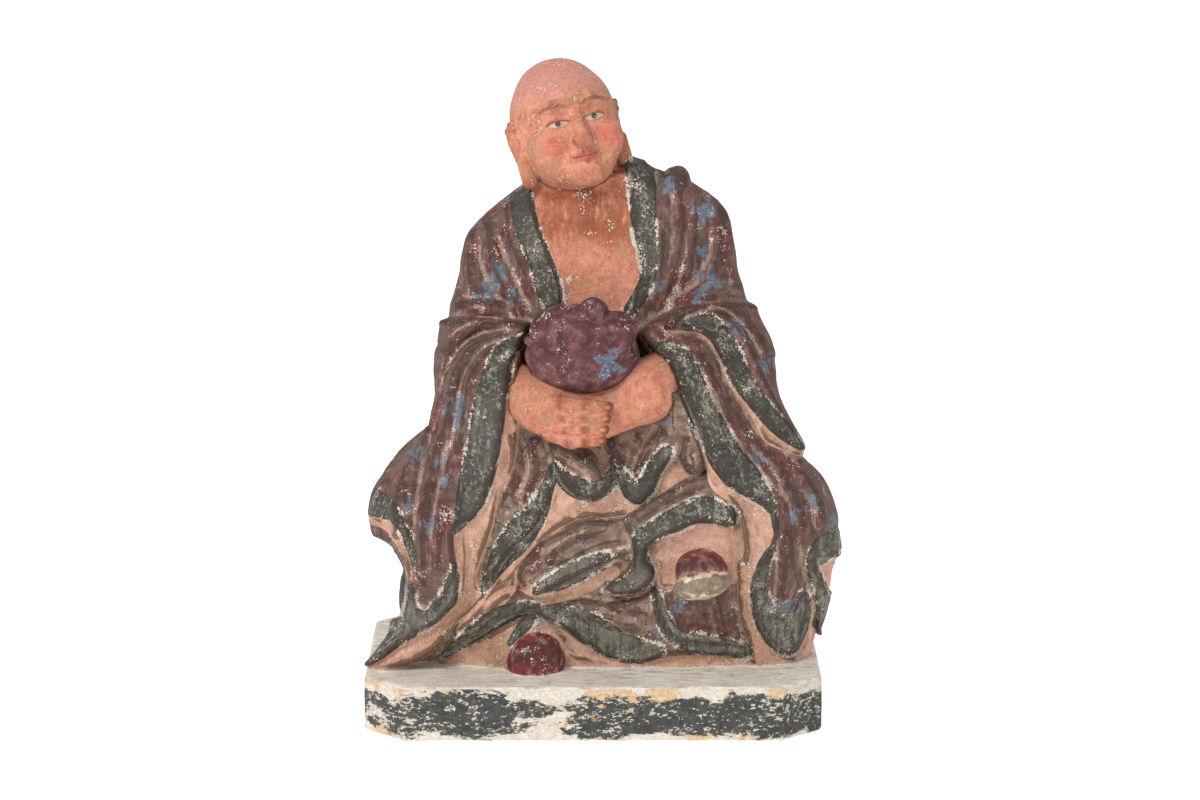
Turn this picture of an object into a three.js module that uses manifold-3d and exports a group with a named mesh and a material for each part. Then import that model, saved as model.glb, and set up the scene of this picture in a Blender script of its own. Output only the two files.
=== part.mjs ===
// A seated luohan in painted pottery. The holy man sits on a rock in wide robes, holds a cloth
// bundle in his lap and looks up to one side. Figure, rock, bundle and plinth are moulded as one
// piece, so the model is one solid that stands on its flat underside.
import * as THREE from 'three';
import { mergeVertices } from 'three/addons/utils/BufferGeometryUtils.js';
import Module from 'manifold-3d';

// Driving dimensions, in millimetres
const PLINTH_LENGTH = 290;
const PLINTH_DEPTH = 195;
const PLINTH_HEIGHT = 35;
const PLINTH_CORNER = 26;
const PLINTH_WORN_EDGE = 2;
const FIGURE_HEIGHT = 385;
const CLAY_OVERLAP = 1;

// The figure is laid out in parts, hundredths of its height. x runs to the viewer's right, y to
// the back and z up from the plinth's top. The carving is drawn on a sight plane, as a person
// standing before it sees the figure: across, then up from the figure's foot.
const PART = FIGURE_HEIGHT / 100;
const EYE_DISTANCE = 675;
const EYE_RISE = THREE.MathUtils.degToRad(11);
const EYE_AIM = 48;

const { clamp, lerp, smoothstep } = THREE.MathUtils;
const V = (x, y, z) => new THREE.Vector3(x, y, z);

// Where a point of the figure shows on the sight plane
function sighted(p) {
  const up = (p.z - EYE_AIM) * Math.cos(EYE_RISE) + p.y * Math.sin(EYE_RISE);
  const far = EYE_DISTANCE + p.y * Math.cos(EYE_RISE) - (p.z - EYE_AIM) * Math.sin(EYE_RISE);
  const foot = EYE_AIM * Math.cos(EYE_RISE) / (EYE_DISTANCE + EYE_AIM * Math.sin(EYE_RISE));
  return { across: p.x * EYE_DISTANCE / far, up: (up / far + foot) * EYE_DISTANCE };
}

// Reach of the robed mass from its axis: [height, left, right, front, back, squareness]
const MASS = [
  [-2, 35.0, 36.2, 13.0, 21.5, 3.2],
  [4, 33.0, 38.2, 14.0, 21.5, 3.2],
  [10, 32.0, 38.4, 15.5, 21.5, 3.2],
  [15, 32.4, 38.6, 17.0, 21.0, 3.2],
  [18, 33.0, 39.8, 17.5, 20.5, 3.2],
  [22, 35.8, 39.6, 18.0, 20.0, 3.0],
  [26, 36.0, 38.4, 18.5, 19.5, 3.0],
  [31, 33.8, 36.2, 18.0, 18.5, 2.8],
  [36, 30.0, 33.0, 16.5, 17.5, 2.6],
  [42, 23.8, 29.6, 14.0, 16.5, 2.4],
  [47, 22.6, 28.6, 12.0, 16.0, 2.3],
  [53, 23.2, 27.6, 11.0, 15.5, 2.3],
  [58, 23.2, 25.6, 10.5, 15.0, 2.3],
  [64, 21.4, 23.2, 10.0, 14.5, 2.3],
  [70, 20.2, 22.4, 9.2, 13.5, 2.3],
  [75, 16.6, 21.6, 8.0, 12.0, 2.2],
  [79, 11.6, 19.0, 7.0, 10.5, 2.2],
  [82, 8.6, 13.6, 6.2, 9.0, 2.2],
  [84, 7.2, 7.8, 5.6, 8.0, 2.0],
  [88, 6.0, 5.0, 5.0, 6.5, 2.0],
];

// Value of a table's columns at a height, eased between its rows
function profileAt(rows, height) {
  const last = rows.length - 1;
  const z = clamp(height, rows[0][0], rows[last][0]);
  let i = 0;
  while (i < last - 1 && rows[i + 1][0] < z) i += 1;
  const before = rows[Math.max(i - 1, 0)];
  const from = rows[i];
  const to = rows[i + 1];
  const after = rows[Math.min(i + 2, last)];
  const gap = to[0] - from[0];
  const t = (z - from[0]) / gap;
  return from.slice(1).map((value, k) => {
    const column = k + 1;
    const startSlope = (to[column] - before[column]) / Math.max(to[0] - before[0], gap) * gap;
    const endSlope = (after[column] - from[column]) / Math.max(after[0] - from[0], gap) * gap;
    const rise = to[column] - value;
    const bend = 3 * rise - 2 * startSlope - endSlope;
    const twist = startSlope + endSlope - 2 * rise;
    return value + t * (startSlope + t * (bend + t * twist));
  });
}

// Signed distances, negative inside the clay
function melt(a, b, soft) {
  const near = Math.max(soft - Math.abs(a - b), 0);
  return Math.min(a, b) - near * near / (4 * soft);
}

function ellipsoid(p, centre, radii) {
  const q = p.clone().sub(centre);
  const first = q.clone().divide(radii).length();
  const second = q.divide(radii).divide(radii).length();
  return first * (first - 1) / Math.max(second, 1e-6);
}

// A rounded limb from one end to the other, with a radius at each end
function limb(p, from, to, startRadius, endRadius) {
  const along = to.clone().sub(from);
  const q = p.clone().sub(from);
  const t = clamp(q.dot(along) / along.lengthSq(), 0, 1);
  return q.addScaledVector(along, -t).length() - lerp(startRadius, endRadius, t);
}

function limbs(p, list, soft) {
  return list.reduce((d, l) => melt(d, limb(p, ...l), soft), Infinity);
}

function mass(p) {
  const [left, right, front, back, squareness] = profileAt(MASS, p.z);
  const x = Math.abs(p.x) / (p.x < 0 ? left : right);
  const y = Math.abs(p.y) / (p.y < 0 ? front : back);
  const share = (x ** squareness + y ** squareness) ** (1 / squareness);
  return share < 0.05 ? -front : Math.hypot(p.x, p.y) * (1 - 1 / share);
}

// Arms inside their sleeves, knees, the cloth that hangs from the forearms and the hem's tail
const ARMS = [
  [V(-14, 1, 67), V(-18.2, -4, 50), 7, 6.2],
  [V(-18.2, -4, 50), V(-12, -15, 48), 6.2, 4.4],
  [V(15.5, 1, 68.5), V(22.5, -4, 50), 7.2, 6.8],
  [V(22.5, -4, 50), V(12, -15, 49), 6.6, 4.6],
];
const KNEES = [
  [V(-8, -4, 27), V(-24, -11, 23), 9, 9.5],
  [V(-24, -11, 23), V(-14, -11, 4), 8, 5],
  [V(8, -4, 27), V(27, -10, 24), 9, 9],
  [V(27, -10, 24), V(18, -12, 15), 7.5, 6],
];
const SLEEVE_FALL = [
  [V(-15, -14, 46), V(-20, -15.5, 24), 4, 3.4],
  [V(-20, -9, 46), V(-25.5, -14, 24), 5, 4],
  [V(14, -14, 47), V(23, -15, 26), 4.2, 3.6],
  [V(23, -9, 47), V(31, -11, 27), 5, 4],
];
const HEM_TAIL = [
  [V(-27, -11, 6), V(-36, -13.2, -0.6), 3.6, 1.3],
];

// A panel of cloth on the sight plane: how far its face stands out, and its outline
const PANELS = [
  { level: -1.2, outline: [[-10, 77], [-9.2, 70.6], [-7.5, 66], [-5.3, 61.5], [-4.5, 55], [5, 55],
    [7.9, 61.5], [8.2, 64], [7, 68.3], [6.4, 74], [5.7, 80], [-3, 83]] },
  { level: -1.6, outline: [[-21, 22], [-15, 41], [14, 42], [20, 31], [31, 22], [29, 8], [30, -4],
    [-20, -4], [-34, -4], [-26, 8], [-24, 18]] },
  { level: -0.4, outline: [[-9.5, 7], [-3, 8.2], [3, 7.5], [10, 9.5], [14, 9.5], [24, 11], [25.3, -1],
    [13, -0.4], [10.8, -1.3], [7.5, -2.4], [3.6, -1.9], [-0.2, 0.3], [-4.6, 3.1], [-7.5, 5]] },
  { level: -0.6, outline: [[-8.8, 7.8], [-12, 9.8], [-18.4, 6.4], [-25.4, -1.4], [-20, 0.4], [-14, 4.2]] },
  { level: 0.2, outline: [[-14.5, 39], [-8, 36], [-6, 30], [-7, 24.3], [-9.1, 19.3], [-13.5, 15.4],
    [-15.1, 13.2], [-18.8, 9], [-19.3, 11.5], [-17.5, 16], [-17, 22], [-15.5, 30]] },
  { level: 0.4, outline: [[-13, 11.2], [-9.1, 8.1], [-3.5, 10.3], [3.1, 14], [4, 17], [8, 22.5],
    [-0.2, 21.8], [-4.6, 18.2], [-9.1, 13.8]] },
  { level: 0.9, outline: [[0, 21.5], [7, 22.5], [16.5, 28], [20, 27], [23.5, 23], [23, 20.2], [19, 20],
    [13.5, 18.4], [9.6, 16.6], [8.5, 15.2], [9.9, 13.3], [9.6, 10.7], [6.4, 8.5], [2, 9.2], [3.6, 11.6],
    [4.8, 14], [3, 15.5], [1, 17]] },
  { level: 1.6, outline: [[-15, 36], [-8, 36.5], [-6.5, 31], [-4.1, 26.4], [-0.8, 24.5], [1.8, 25.7],
    [3.7, 28], [4.8, 25.4], [7.5, 24], [9.8, 26], [12, 29.3], [13.8, 32], [17, 29], [19.5, 30],
    [17, 36], [13, 42], [-13, 42]] },
  { level: 1.4, outline: [[-10, 53], [-12, 46.5], [-14.3, 40], [-15.3, 35], [-16.3, 30], [-17.6, 25],
    [-20, 21.8], [-23.4, 18.5], [-22.7, 11.6], [-25, 7.2], [-30, 2.2], [-38.5, -3.2], [-46, 0],
    [-46, 40], [-30, 54]] },
  { level: 1.4, outline: [[8, 51.5], [12.4, 47], [14.4, 43], [16.4, 38], [18.7, 33], [20.2, 28.7],
    [23.6, 25.6], [27.4, 24.2], [30.2, 20], [29.6, 16.6], [27.7, 13.8], [26.6, 9.4], [27.1, 5],
    [29, 1.1], [31.5, -1.9], [34.3, 0.4], [36, 3], [48, 3], [48, 40], [32, 56], [16, 57]] },
  { level: 2.8, outline: [[12, 52.3], [18, 55.8], [22.5, 54.4], [25.4, 50], [28, 45.9], [31, 41.6],
    [34, 38], [36.4, 33.8], [34.6, 31.6], [30, 33.4], [26.5, 36], [23.3, 39.5], [21.5, 44], [19.6, 49],
    [16.6, 51.4]] },
];

// A hem band on the sight plane: [across, up, half width] along its middle
const HEM_RISE = 0.55;
const HEMS = [
  [[-11.7, 76, 1.7], [-11.4, 70.3, 2.1], [-9.6, 65.6, 2], [-7.4, 60.7, 2], [-5.8, 56.5, 1.6]],
  [[7.8, 80, 2.1], [8.4, 74, 2.1], [8.7, 68, 1.8], [9.3, 63, 1.2], [8.3, 59.8, 1.1], [6, 56.5, 0.9]],
  [[-11.5, 50.6, 1], [-15, 48.4, 2], [-16.8, 44.5, 2.4], [-17.5, 40, 2.5], [-18.2, 35, 2.4],
    [-19.2, 30, 2.6], [-20.3, 25, 2.5], [-22.3, 20.8, 1]],
  [[8.5, 50, 0.5], [12.5, 48.8, 1.6], [15.5, 44, 2.4], [17.8, 39, 2.5], [21, 33.5, 2.8], [25, 28.7, 3],
    [28.3, 25.3, 2], [30, 22, 0.8]],
  [[15.5, 53.2, 0.6], [19, 53.2, 1.5], [22.4, 50.2, 1.6], [25, 45.3, 1.7], [28.4, 40.8, 1.7],
    [31.6, 37.2, 1.6], [34.8, 33.8, 0.6]],
  [[-6, 30.3, 0.7], [-3.8, 28, 1.2], [-0.8, 26.3, 1.4], [2, 27.9, 1.3], [3.9, 29.8, 1.2], [5.4, 27, 1.2],
    [7.5, 25.8, 1.3], [9.8, 28.5, 1.4], [12.3, 32.3, 1.1]],
  [[-6.8, 29.5, 0.7], [-8.3, 24.5, 1.3], [-11, 20.5, 1.9], [-14.6, 16, 1.7], [-16.8, 12.8, 1.2],
    [-18.8, 9.5, 0.5]],
  [[-10.8, 10, 1.3], [-7, 10, 1.6], [-3, 12.2, 1.6], [0.5, 14.5, 1.5], [2.8, 16, 0.9]],
  [[2.6, 10.6, 1], [5.5, 11, 1.9], [8, 12.3, 1.8], [7.8, 15.8, 1], [8.6, 18.8, 1.6], [13, 21, 2],
    [18, 22.8, 2.2], [22, 21.9, 1.5]],
  [[-9.8, 7.6, 0.8], [-15, 5.5, 1.8], [-20, 2.2, 1.6], [-24.8, -1, 0.4]],
  [[-9, 6.4, 0.7], [-4.5, 5.3, 1.6], [0.5, 3, 2.2], [5, 0.7, 2.3], [9.5, -0.4, 1.5], [12, 0, 0.6]],
  [[11, 4, 1], [13.5, 1.6, 1.6], [18, 0.8, 1.5], [25, 0.4, 1.3]],
  [[-22.8, 15, 0.6], [-24.3, 10, 1.7], [-28.5, 4.5, 1.9], [-35.5, -1.6, 1.2]],
  [[29.4, 14, 1.4], [28.3, 8.8, 1.7], [29.6, 3.9, 2], [31.8, 1.1, 2.3], [33.8, 3.9, 1.6], [35, 7.2, 1.4]],
];

// A fold on the sight plane: how far its ridge stands out, its half width, and its line
const FOLDS = [
  { rise: 1.1, width: 1.5, line: [[-10.5, 51.5], [-16, 54.5], [-22, 55.5], [-26, 53]] },
  { rise: 1.0, width: 1.4, line: [[-10.8, 50.8], [-17, 52.2], [-22, 49.8], [-25.5, 44]] },
  { rise: 1.0, width: 1.4, line: [[-13, 50.3], [-18.5, 49.5], [-22, 44], [-23.5, 38]] },
  { rise: 1.0, width: 1.5, line: [[-21.5, 40], [-22.5, 33], [-24.5, 25], [-25.5, 15]] },
  { rise: 1.2, width: 1.7, line: [[-24.5, 40], [-27.5, 32], [-29.5, 22], [-29, 10]] },
  { rise: 1.1, width: 1.8, line: [[-28.5, 36], [-32.5, 29], [-34, 24]] },
  { rise: 1.0, width: 1.6, line: [[-15, 73], [-14, 65], [-11, 58], [-8.5, 53]] },
  { rise: 1.0, width: 1.7, line: [[-18, 70], [-17.5, 62], [-14.5, 56], [-9.5, 51.5]] },
  { rise: 1.1, width: 1.6, line: [[14.2, 80.5], [13.8, 72], [14, 64], [10, 55]] },
  { rise: 1.1, width: 1.6, line: [[18, 77], [18.5, 70], [17, 63], [11.5, 54.5]] },
  { rise: 1.1, width: 1.7, line: [[11.5, 53], [17, 58.5], [22, 60.5], [26.5, 58.5]] },
  { rise: 1.0, width: 1.5, line: [[12.5, 53], [19, 57], [25, 54.5], [29, 47]] },
  { rise: 1.0, width: 1.6, line: [[22, 44.5], [25.5, 38], [30, 31], [33.5, 22], [34.5, 12]] },
  { rise: 1.1, width: 1.8, line: [[32, 33], [36.5, 25], [38, 18]] },
  { rise: 0.9, width: 1.3, line: [[20.5, 45], [22.5, 39], [27, 33], [31, 27]] },
  { rise: 0.9, width: 1.4, line: [[-14, 35], [-13.5, 29], [-15.5, 22]] },
  { rise: 0.8, width: 1.3, line: [[-10.5, 33], [-10.5, 28], [-12.5, 23]] },
  { rise: 1.2, width: 1.6, line: [[-4, 22.5], [-10, 16], [-17, 8], [-27, -1]] },
  { rise: -0.9, width: 1.2, line: [[-22, 17], [-20.5, 9], [-23.5, 1]] },
  { rise: 0.8, width: 1.1, line: [[7.5, 20.5], [12, 24], [18, 27]] },
  { rise: 0.7, width: 1.2, line: [[-8, 14], [-3, 18], [2, 20.5]] },
];

// Folds down the back and sides: [angle from the front in degrees, top, foot, rise, half width]
const BACK_FOLDS = [
  [106, 64, 6, 1.2, 9], [137, 70, 4, 1.5, 10], [170, 66, 3, 1.4, 10], [204, 72, 5, 1.5, 10],
  [236, 68, 4, 1.4, 10], [262, 62, 7, 1.1, 8],
];

// A smooth line or closed outline through a few chosen points, split into short steps
function steps(points, closed, perPoint) {
  const curve = new THREE.CatmullRomCurve3(points.map(([x, y, w = 0]) => V(x, y, w)), closed, 'centripetal');
  return curve.getPoints(points.length * perPoint);
}

// Nearest distance from (x, y) to a run of steps, with the third value eased along it
function nearest(run, x, y) {
  let best = { distance: Infinity, third: 0, share: 0 };
  for (let i = 0; i < run.length - 1; i += 1) {
    const [a, b] = [run[i], run[i + 1]];
    const [dx, dy] = [b.x - a.x, b.y - a.y];
    const t = clamp(((x - a.x) * dx + (y - a.y) * dy) / (dx * dx + dy * dy), 0, 1);
    const distance = Math.hypot(x - a.x - dx * t, y - a.y - dy * t);
    if (distance < best.distance) {
      best = { distance, third: lerp(a.z, b.z, t), share: (i + t) / (run.length - 1) };
    }
  }
  return best;
}

function within(run, x, y) {
  let inside = false;
  for (let i = 0; i < run.length - 1; i += 1) {
    const [a, b] = [run[i], run[i + 1]];
    if (a.y > y !== b.y > y && x < a.x + (b.x - a.x) * (y - a.y) / (b.y - a.y)) inside = !inside;
  }
  return inside;
}

// A drawn line or outline with the box that it lies in, widened by how far it is felt
function drawn(points, closed, felt) {
  const run = steps(points, closed, 3);
  const flat = run.map((p) => new THREE.Vector2(p.x, p.y));
  return { run, box: new THREE.Box2().setFromPoints(flat).expandByScalar(felt) };
}

const PANEL_EDGE = 1;
const HEM_EDGE = [-0.7, 0.4];
const HEM_FELT = 4;
const panels = PANELS.map(({ level, outline }) => ({ level, ...drawn(outline, true, PANEL_EDGE) }));
const hems = HEMS.map((line) => drawn(line, false, HEM_FELT));
const folds = FOLDS.map(({ rise, width, line }) => ({ rise, width, ...drawn(line, false, 2.5 * width) }));

// How far the carving stands out of the robed mass where it is seen at (x, y)
function carving(x, y) {
  const seen = new THREE.Vector2(x, y);
  let height = 0;
  for (const { level, run, box } of panels) {
    if (!box.containsPoint(seen)) continue;
    const away = nearest(run, x, y).distance * (within(run, x, y) ? -1 : 1);
    height = lerp(height, level, 1 - smoothstep(away, -PANEL_EDGE, PANEL_EDGE));
  }
  for (const { run, box } of hems) {
    if (!box.containsPoint(seen)) continue;
    const { distance, third } = nearest(run, x, y);
    height += HEM_RISE * (1 - smoothstep(distance - third, ...HEM_EDGE));
  }
  for (const { rise, width, run, box } of folds) {
    if (!box.containsPoint(seen)) continue;
    const { distance, share } = nearest(run, x, y);
    const taper = Math.sqrt(clamp(4 * share * (1 - share), 0, 1));
    height += rise * taper * Math.exp(-((distance / width) ** 2));
  }
  return height;
}

const FRONT_FADE = [-6, 3];
const BACK_FADE = [-4, 6];

function backCarving(p) {
  const angle = THREE.MathUtils.euclideanModulo(THREE.MathUtils.radToDeg(Math.atan2(p.x, -p.y)), 360);
  return BACK_FOLDS.reduce((sum, [at, top, foot, rise, width]) => {
    const lean = at + (p.z - 35) * 0.12 * Math.sign(at - 180);
    const fade = smoothstep(p.z, foot - 6, foot + 4) * (1 - smoothstep(p.z, top - 10, top + 4));
    return sum + rise * fade * Math.exp(-(((angle - lean) / width) ** 2));
  }, 0);
}

function robe(p) {
  const form = melt(melt(mass(p), limbs(p, ARMS, 2), 3), limbs(p, KNEES, 3), 4);
  const draped = melt(melt(form, limbs(p, SLEEVE_FALL, 3), 3), limbs(p, HEM_TAIL, 1), 2.5);
  const { across, up } = sighted(p);
  const front = 1 - smoothstep(p.y, ...FRONT_FADE);
  const back = smoothstep(p.y, ...BACK_FADE);
  return draped - (front > 0 ? front * carving(across, up) : 0) - (back > 0 ? back * backCarving(p) : 0);
}

// The head, in its own frame: its face looks along -y before the head is turned
const HEAD_CENTRE = V(-4.4, -2.2, 89);
const HEAD_TURN = new THREE.Euler(
  THREE.MathUtils.degToRad(-14), THREE.MathUtils.degToRad(-11), THREE.MathUtils.degToRad(13), 'ZXY');
const EYE_APART = 3.1;
const EYE_LINE = 0.2;
const NOSE_FOOT = -3.9;
const MOUTH_LINE = -6;

function head(q) {
  const side = V(Math.abs(q.x), q.y, q.z);
  let d = ellipsoid(q, V(0, 0.8, 2.2), V(8.6, 9.2, 8.4));
  d = melt(d, ellipsoid(q, V(0, 1.5, 7.4), V(5, 5.4, 3.6)), 2.5);
  d = melt(d, ellipsoid(q, V(0, -1.4, -4), V(7.9, 7.1, 6.9)), 2.5);
  d = melt(d, ellipsoid(side, V(4.2, -4.8, -3.4), V(3.6, 3.5, 3.6)), 1.6);
  d = melt(d, ellipsoid(q, V(0, -6.4, -8.6), V(2.8, 2.2, 2.1)), 1.6);
  d = -melt(-d, ellipsoid(side, V(EYE_APART, -9.2, EYE_LINE + 0.2), V(2.2, 1.6, 1.3)), 1.2);
  d = melt(d, limb(side, V(1.2, -8, 2.6), V(5.2, -6.2, 2.6), 0.8, 0.6), 1.2);
  d = melt(d, ellipsoid(side, V(EYE_APART, -6.5, EYE_LINE), V(1.9, 1.6, 1.25)), 0.4);
  d = melt(d, limb(q, V(0, -8, 1.6), V(0, -9.9, NOSE_FOOT + 1), 0.8, 1.2), 0.8);
  d = melt(d, ellipsoid(side, V(1.25, -8.7, NOSE_FOOT + 0.5), V(0.9, 1, 0.8)), 0.5);
  d = melt(d, limb(side, V(0, -8.6, MOUTH_LINE + 0.5), V(2.1, -7.6, MOUTH_LINE + 0.3), 0.55, 0.3), 0.5);
  return melt(d, limb(side, V(0, -8.4, MOUTH_LINE - 0.6), V(1.7, -7.6, MOUTH_LINE - 0.4), 0.65, 0.35), 0.5);
}

// The cloth bundle: a flattened ball with a lip round it and a lump of gathered cloth on top
const BUNDLE_CENTRE = V(-1.7, -17.5, 55);

function bundle(q) {
  let d = ellipsoid(q, V(0, 0, -1), V(9.3, 8, 6.2));
  d = melt(d, ellipsoid(q, V(-0.6, 0.2, 2.6), V(7.2, 6.2, 4.6)), 1.6);
  d = melt(d, ellipsoid(q, V(5.4, 0.2, 2.4), V(3, 3.4, 3.4)), 1.2);
  return melt(d, ellipsoid(q, V(1.6, -1, 6), V(2.6, 2.6, 2.2)), 1);
}

// The hands under it, one wrist from each sleeve, and the near hand laid over the far one
const HANDS_CENTRE = V(-1, -18, 44.8);
const HANDS = [
  [V(-13.5, -14.5, 48.2), V(-8, -19, 45.6), 3.8, 4.4],
  [V(-8, -19, 45.6), V(-2.5, -20.2, 44.2), 4.4, 3.8],
  [V(12.8, -14, 51.2), V(8.4, -18, 47.6), 4, 4.7],
  [V(8.4, -18, 47.6), V(1.5, -19.4, 43.8), 4.7, 3.8],
];
const FINGER_COUNT = 4;
const FINGER_DROP = V(0.45, 0.05, -1.95);
const FINGER_KNUCKLE = V(-5, -22.8, 46.8);
const FINGER_REACH = V(7.4, -1.2, -0.4);

async function startManifold() {
  const wasm = await Module();
  wasm.setup();
  return wasm;
}
const wasm = await startManifold();

function solidOf(geometry) {
  const bare = geometry.clone();
  bare.deleteAttribute('normal');
  bare.deleteAttribute('uv');
  const merged = mergeVertices(bare, 1e-4);
  return new wasm.Manifold(new wasm.Mesh({
    numProp: 3,
    vertProperties: new Float32Array(merged.attributes.position.array),
    triVerts: new Uint32Array(merged.index.array),
  }));
}

function geometryOf(solid) {
  const { vertProperties, triVerts } = solid.getMesh();
  const geometry = new THREE.BufferGeometry();
  geometry.setAttribute('position', new THREE.BufferAttribute(vertProperties, 3));
  geometry.setIndex(new THREE.BufferAttribute(triVerts, 1));
  return geometry;
}

// How far from its start a ray that is followed inwards from its reach first meets the clay
const LEAST_REACH = 0.5;

function firstClay(field, { start, direction }, reach) {
  const at = (distance) => field(start.clone().addScaledVector(direction, distance));
  let out = reach;
  let inner = reach;
  for (let gap = at(inner); inner > LEAST_REACH && gap > 0; gap = at(inner)) {
    out = inner;
    inner -= Math.max(0.6, gap / 2);
  }
  for (let i = 0; i < 9; i += 1) {
    const middle = (out + inner) / 2;
    if (at(middle) > 0) out = middle;
    else inner = middle;
  }
  return Math.max(inner, LEAST_REACH);
}

// The points where a grid of rays meets the clay. Their distances are evened out with those
// beside them a few times, so that steep edges of the carving come out smooth.
function clayPoints(field, rayAt, reach, columns, rows, evenings) {
  const rays = Array.from({ length: columns * rows }, (_, i) => rayAt(
    (i % columns) / columns, Math.floor(i / columns) / (rows - 1)));
  let found = rays.map((ray) => firstClay(field, ray, reach));
  for (let pass = 0; pass < evenings; pass += 1) {
    found = found.map((value, i) => {
      const [column, row] = [i % columns, Math.floor(i / columns)];
      const beside = [-1, 1].map((step) => found[row * columns + (column + step + columns) % columns]);
      const rowsBy = [-1, 1].map((step) => found[clamp(row + step, 0, rows - 1) * columns + column]);
      return [...beside, ...rowsBy].reduce((sum, other) => sum + other / 8, value / 2);
    });
  }
  return rays.map(({ start, direction }, i) => start.clone().addScaledVector(direction, found[i]));
}

// A closed skin over a grid of points, with as few faces as keep it near all of them. The grid
// is two squares wide and closes on itself. Right triangles are halved across their long side
// wherever the middle of that side strays from the grid.
const SQUARES = 2;

function skin(field, rayAt, reach, side, stray, evenings) {
  const columns = SQUARES * side;
  const points = clayPoints(field, rayAt, reach, columns, side + 1, evenings);
  const cell = ([u, v]) => v * columns + (u % columns);
  const middle = (a, b) => [(a[0] + b[0]) / 2, (a[1] + b[1]) / 2];
  const halves = ([a, b, c]) => [[c, a, middle(a, b)], [b, c, middle(a, b)]];

  const levels = [Array.from({ length: SQUARES }, (_, k) => {
    const [u, w] = [k * side, (k + 1) * side];
    return [[[u, 0], [w, side], [w, 0]], [[w, side], [u, 0], [u, side]]];
  }).flat()];
  while (levels.length < 2 * Math.log2(side)) levels.push(levels.at(-1).flatMap(halves));

  const strays = new Float32Array(points.length);
  for (const level of levels.toReversed()) {
    for (const [a, b, c] of level) {
      const m = cell(middle(a, b));
      const between = points[cell(a)].clone().add(points[cell(b)]).divideScalar(2);
      const below = [middle(a, c), middle(b, c)].filter(([u, v]) => u % 1 === 0 && v % 1 === 0);
      strays[m] = Math.max(strays[m], between.distanceTo(points[m]), ...below.map((n) => strays[cell(n)]));
    }
  }

  const faces = [];
  const rims = [new Set(), new Set()];
  const lay = ([a, b, c], depth) => {
    if (depth < levels.length && strays[cell(middle(a, b))] > stray) {
      for (const half of halves([a, b, c])) lay(half, depth + 1);
      return;
    }
    faces.push(cell(a), cell(c), cell(b));
    for (const [u, v] of [a, b, c]) {
      if (v === 0) rims[0].add(u % columns);
      if (v === side) rims[1].add(u % columns);
    }
  };
  for (const triangle of levels[0]) lay(triangle, 0);

  rims.forEach((rim, top) => {
    const ring = [...rim].sort((a, b) => a - b).map((u) => cell([u, top * side]));
    const centre = ring.reduce((sum, i) => sum.add(points[i]), V(0, 0, 0)).divideScalar(ring.length);
    points.push(centre);
    ring.forEach((from, i) => {
      const to = ring[(i + 1) % ring.length];
      faces.push(points.length - 1, top ? from : to, top ? to : from);
    });
  });

  const geometry = new THREE.BufferGeometry();
  const places = points.flatMap((p) => [p.x, p.y, p.z]);
  geometry.setAttribute('position', new THREE.Float32BufferAttribute(places, 3));
  geometry.setIndex(faces);
  return geometry;
}

const BODY_TOP = 84;
const BODY_REACH = 54;
const BODY_GRID = 128;
const BODY_STRAY = 0.4;
const BODY_EVENINGS = 4;

function bodySkin() {
  return skin(robe, (turn, rise) => {
    const angle = 2 * Math.PI * turn;
    return {
      start: V(lerp(1, -2, rise), 0, lerp(-CLAY_OVERLAP / PART, BODY_TOP, rise)),
      direction: V(-Math.sin(angle), Math.cos(angle), 0),
    };
  }, BODY_REACH, BODY_GRID, BODY_STRAY, BODY_EVENINGS);
}

// A skin round a compact form, ray by ray from its centre
const BALL_TILT = 0.47 * Math.PI;

function ballSkin(field, reach, grid, stray) {
  return skin(field, (turn, rise) => {
    const angle = 2 * Math.PI * turn;
    const tilt = lerp(-BALL_TILT, BALL_TILT, rise);
    const level = Math.cos(tilt);
    return {
      start: V(0, 0, 0),
      direction: V(-Math.sin(angle) * level, Math.cos(angle) * level, Math.sin(tilt)),
    };
  }, reach, grid, stray, 0);
}

// A closed tapered limb with round ends, for the neck, wrists, palms and fingers
function limbGeometry(from, to, startRadius, endRadius, sides) {
  const along = to.clone().sub(from);
  const length = along.length();
  const profile = [];
  for (let i = 0; i <= 4; i += 1) {
    const a = -Math.PI / 2 + Math.PI / 8 * i;
    profile.push(new THREE.Vector2(Math.cos(a) * startRadius * (i > 0), Math.sin(a) * startRadius));
  }
  for (let i = 0; i <= 4; i += 1) {
    const a = Math.PI / 8 * i;
    profile.push(new THREE.Vector2(Math.cos(a) * endRadius * (i < 4), length + Math.sin(a) * endRadius));
  }
  const geometry = new THREE.LatheGeometry(profile, sides);
  geometry.applyQuaternion(new THREE.Quaternion().setFromUnitVectors(V(0, 1, 0), along.normalize()));
  return geometry.translate(from.x, from.y, from.z);
}

function ballGeometry(centre, radii, turn = new THREE.Euler()) {
  const geometry = new THREE.SphereGeometry(1, 12, 8);
  geometry.scale(radii.x, radii.y, radii.z);
  geometry.applyMatrix4(new THREE.Matrix4().makeRotationFromEuler(turn));
  return geometry.translate(centre.x, centre.y, centre.z);
}

function fingerGeometries() {
  return Array.from({ length: FINGER_COUNT }, (_, i) => {
    const from = FINGER_KNUCKLE.clone().addScaledVector(FINGER_DROP, i);
    const to = from.clone().add(FINGER_REACH).add(V(-0.8 * i, 0, 0.25 * i));
    return limbGeometry(from, to, 1.25, 0.95, 8);
  });
}

// The shoes: one stands on the plinth, the other is tipped up on the crossed leg
function shoeGeometries() {
  const tip = new THREE.Euler(-0.35, -0.2, 0);
  return [
    ballGeometry(V(-9.6, -13, 1.4), V(4.9, 5.4, 5.2)),
    limbGeometry(V(18.2, -12, 16), V(18.4, -19, 17.6), 4.2, 3.9, 12),
    ballGeometry(V(18.6, -19.8, 15.2), V(4.8, 4, 2), tip),
  ];
}

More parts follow.
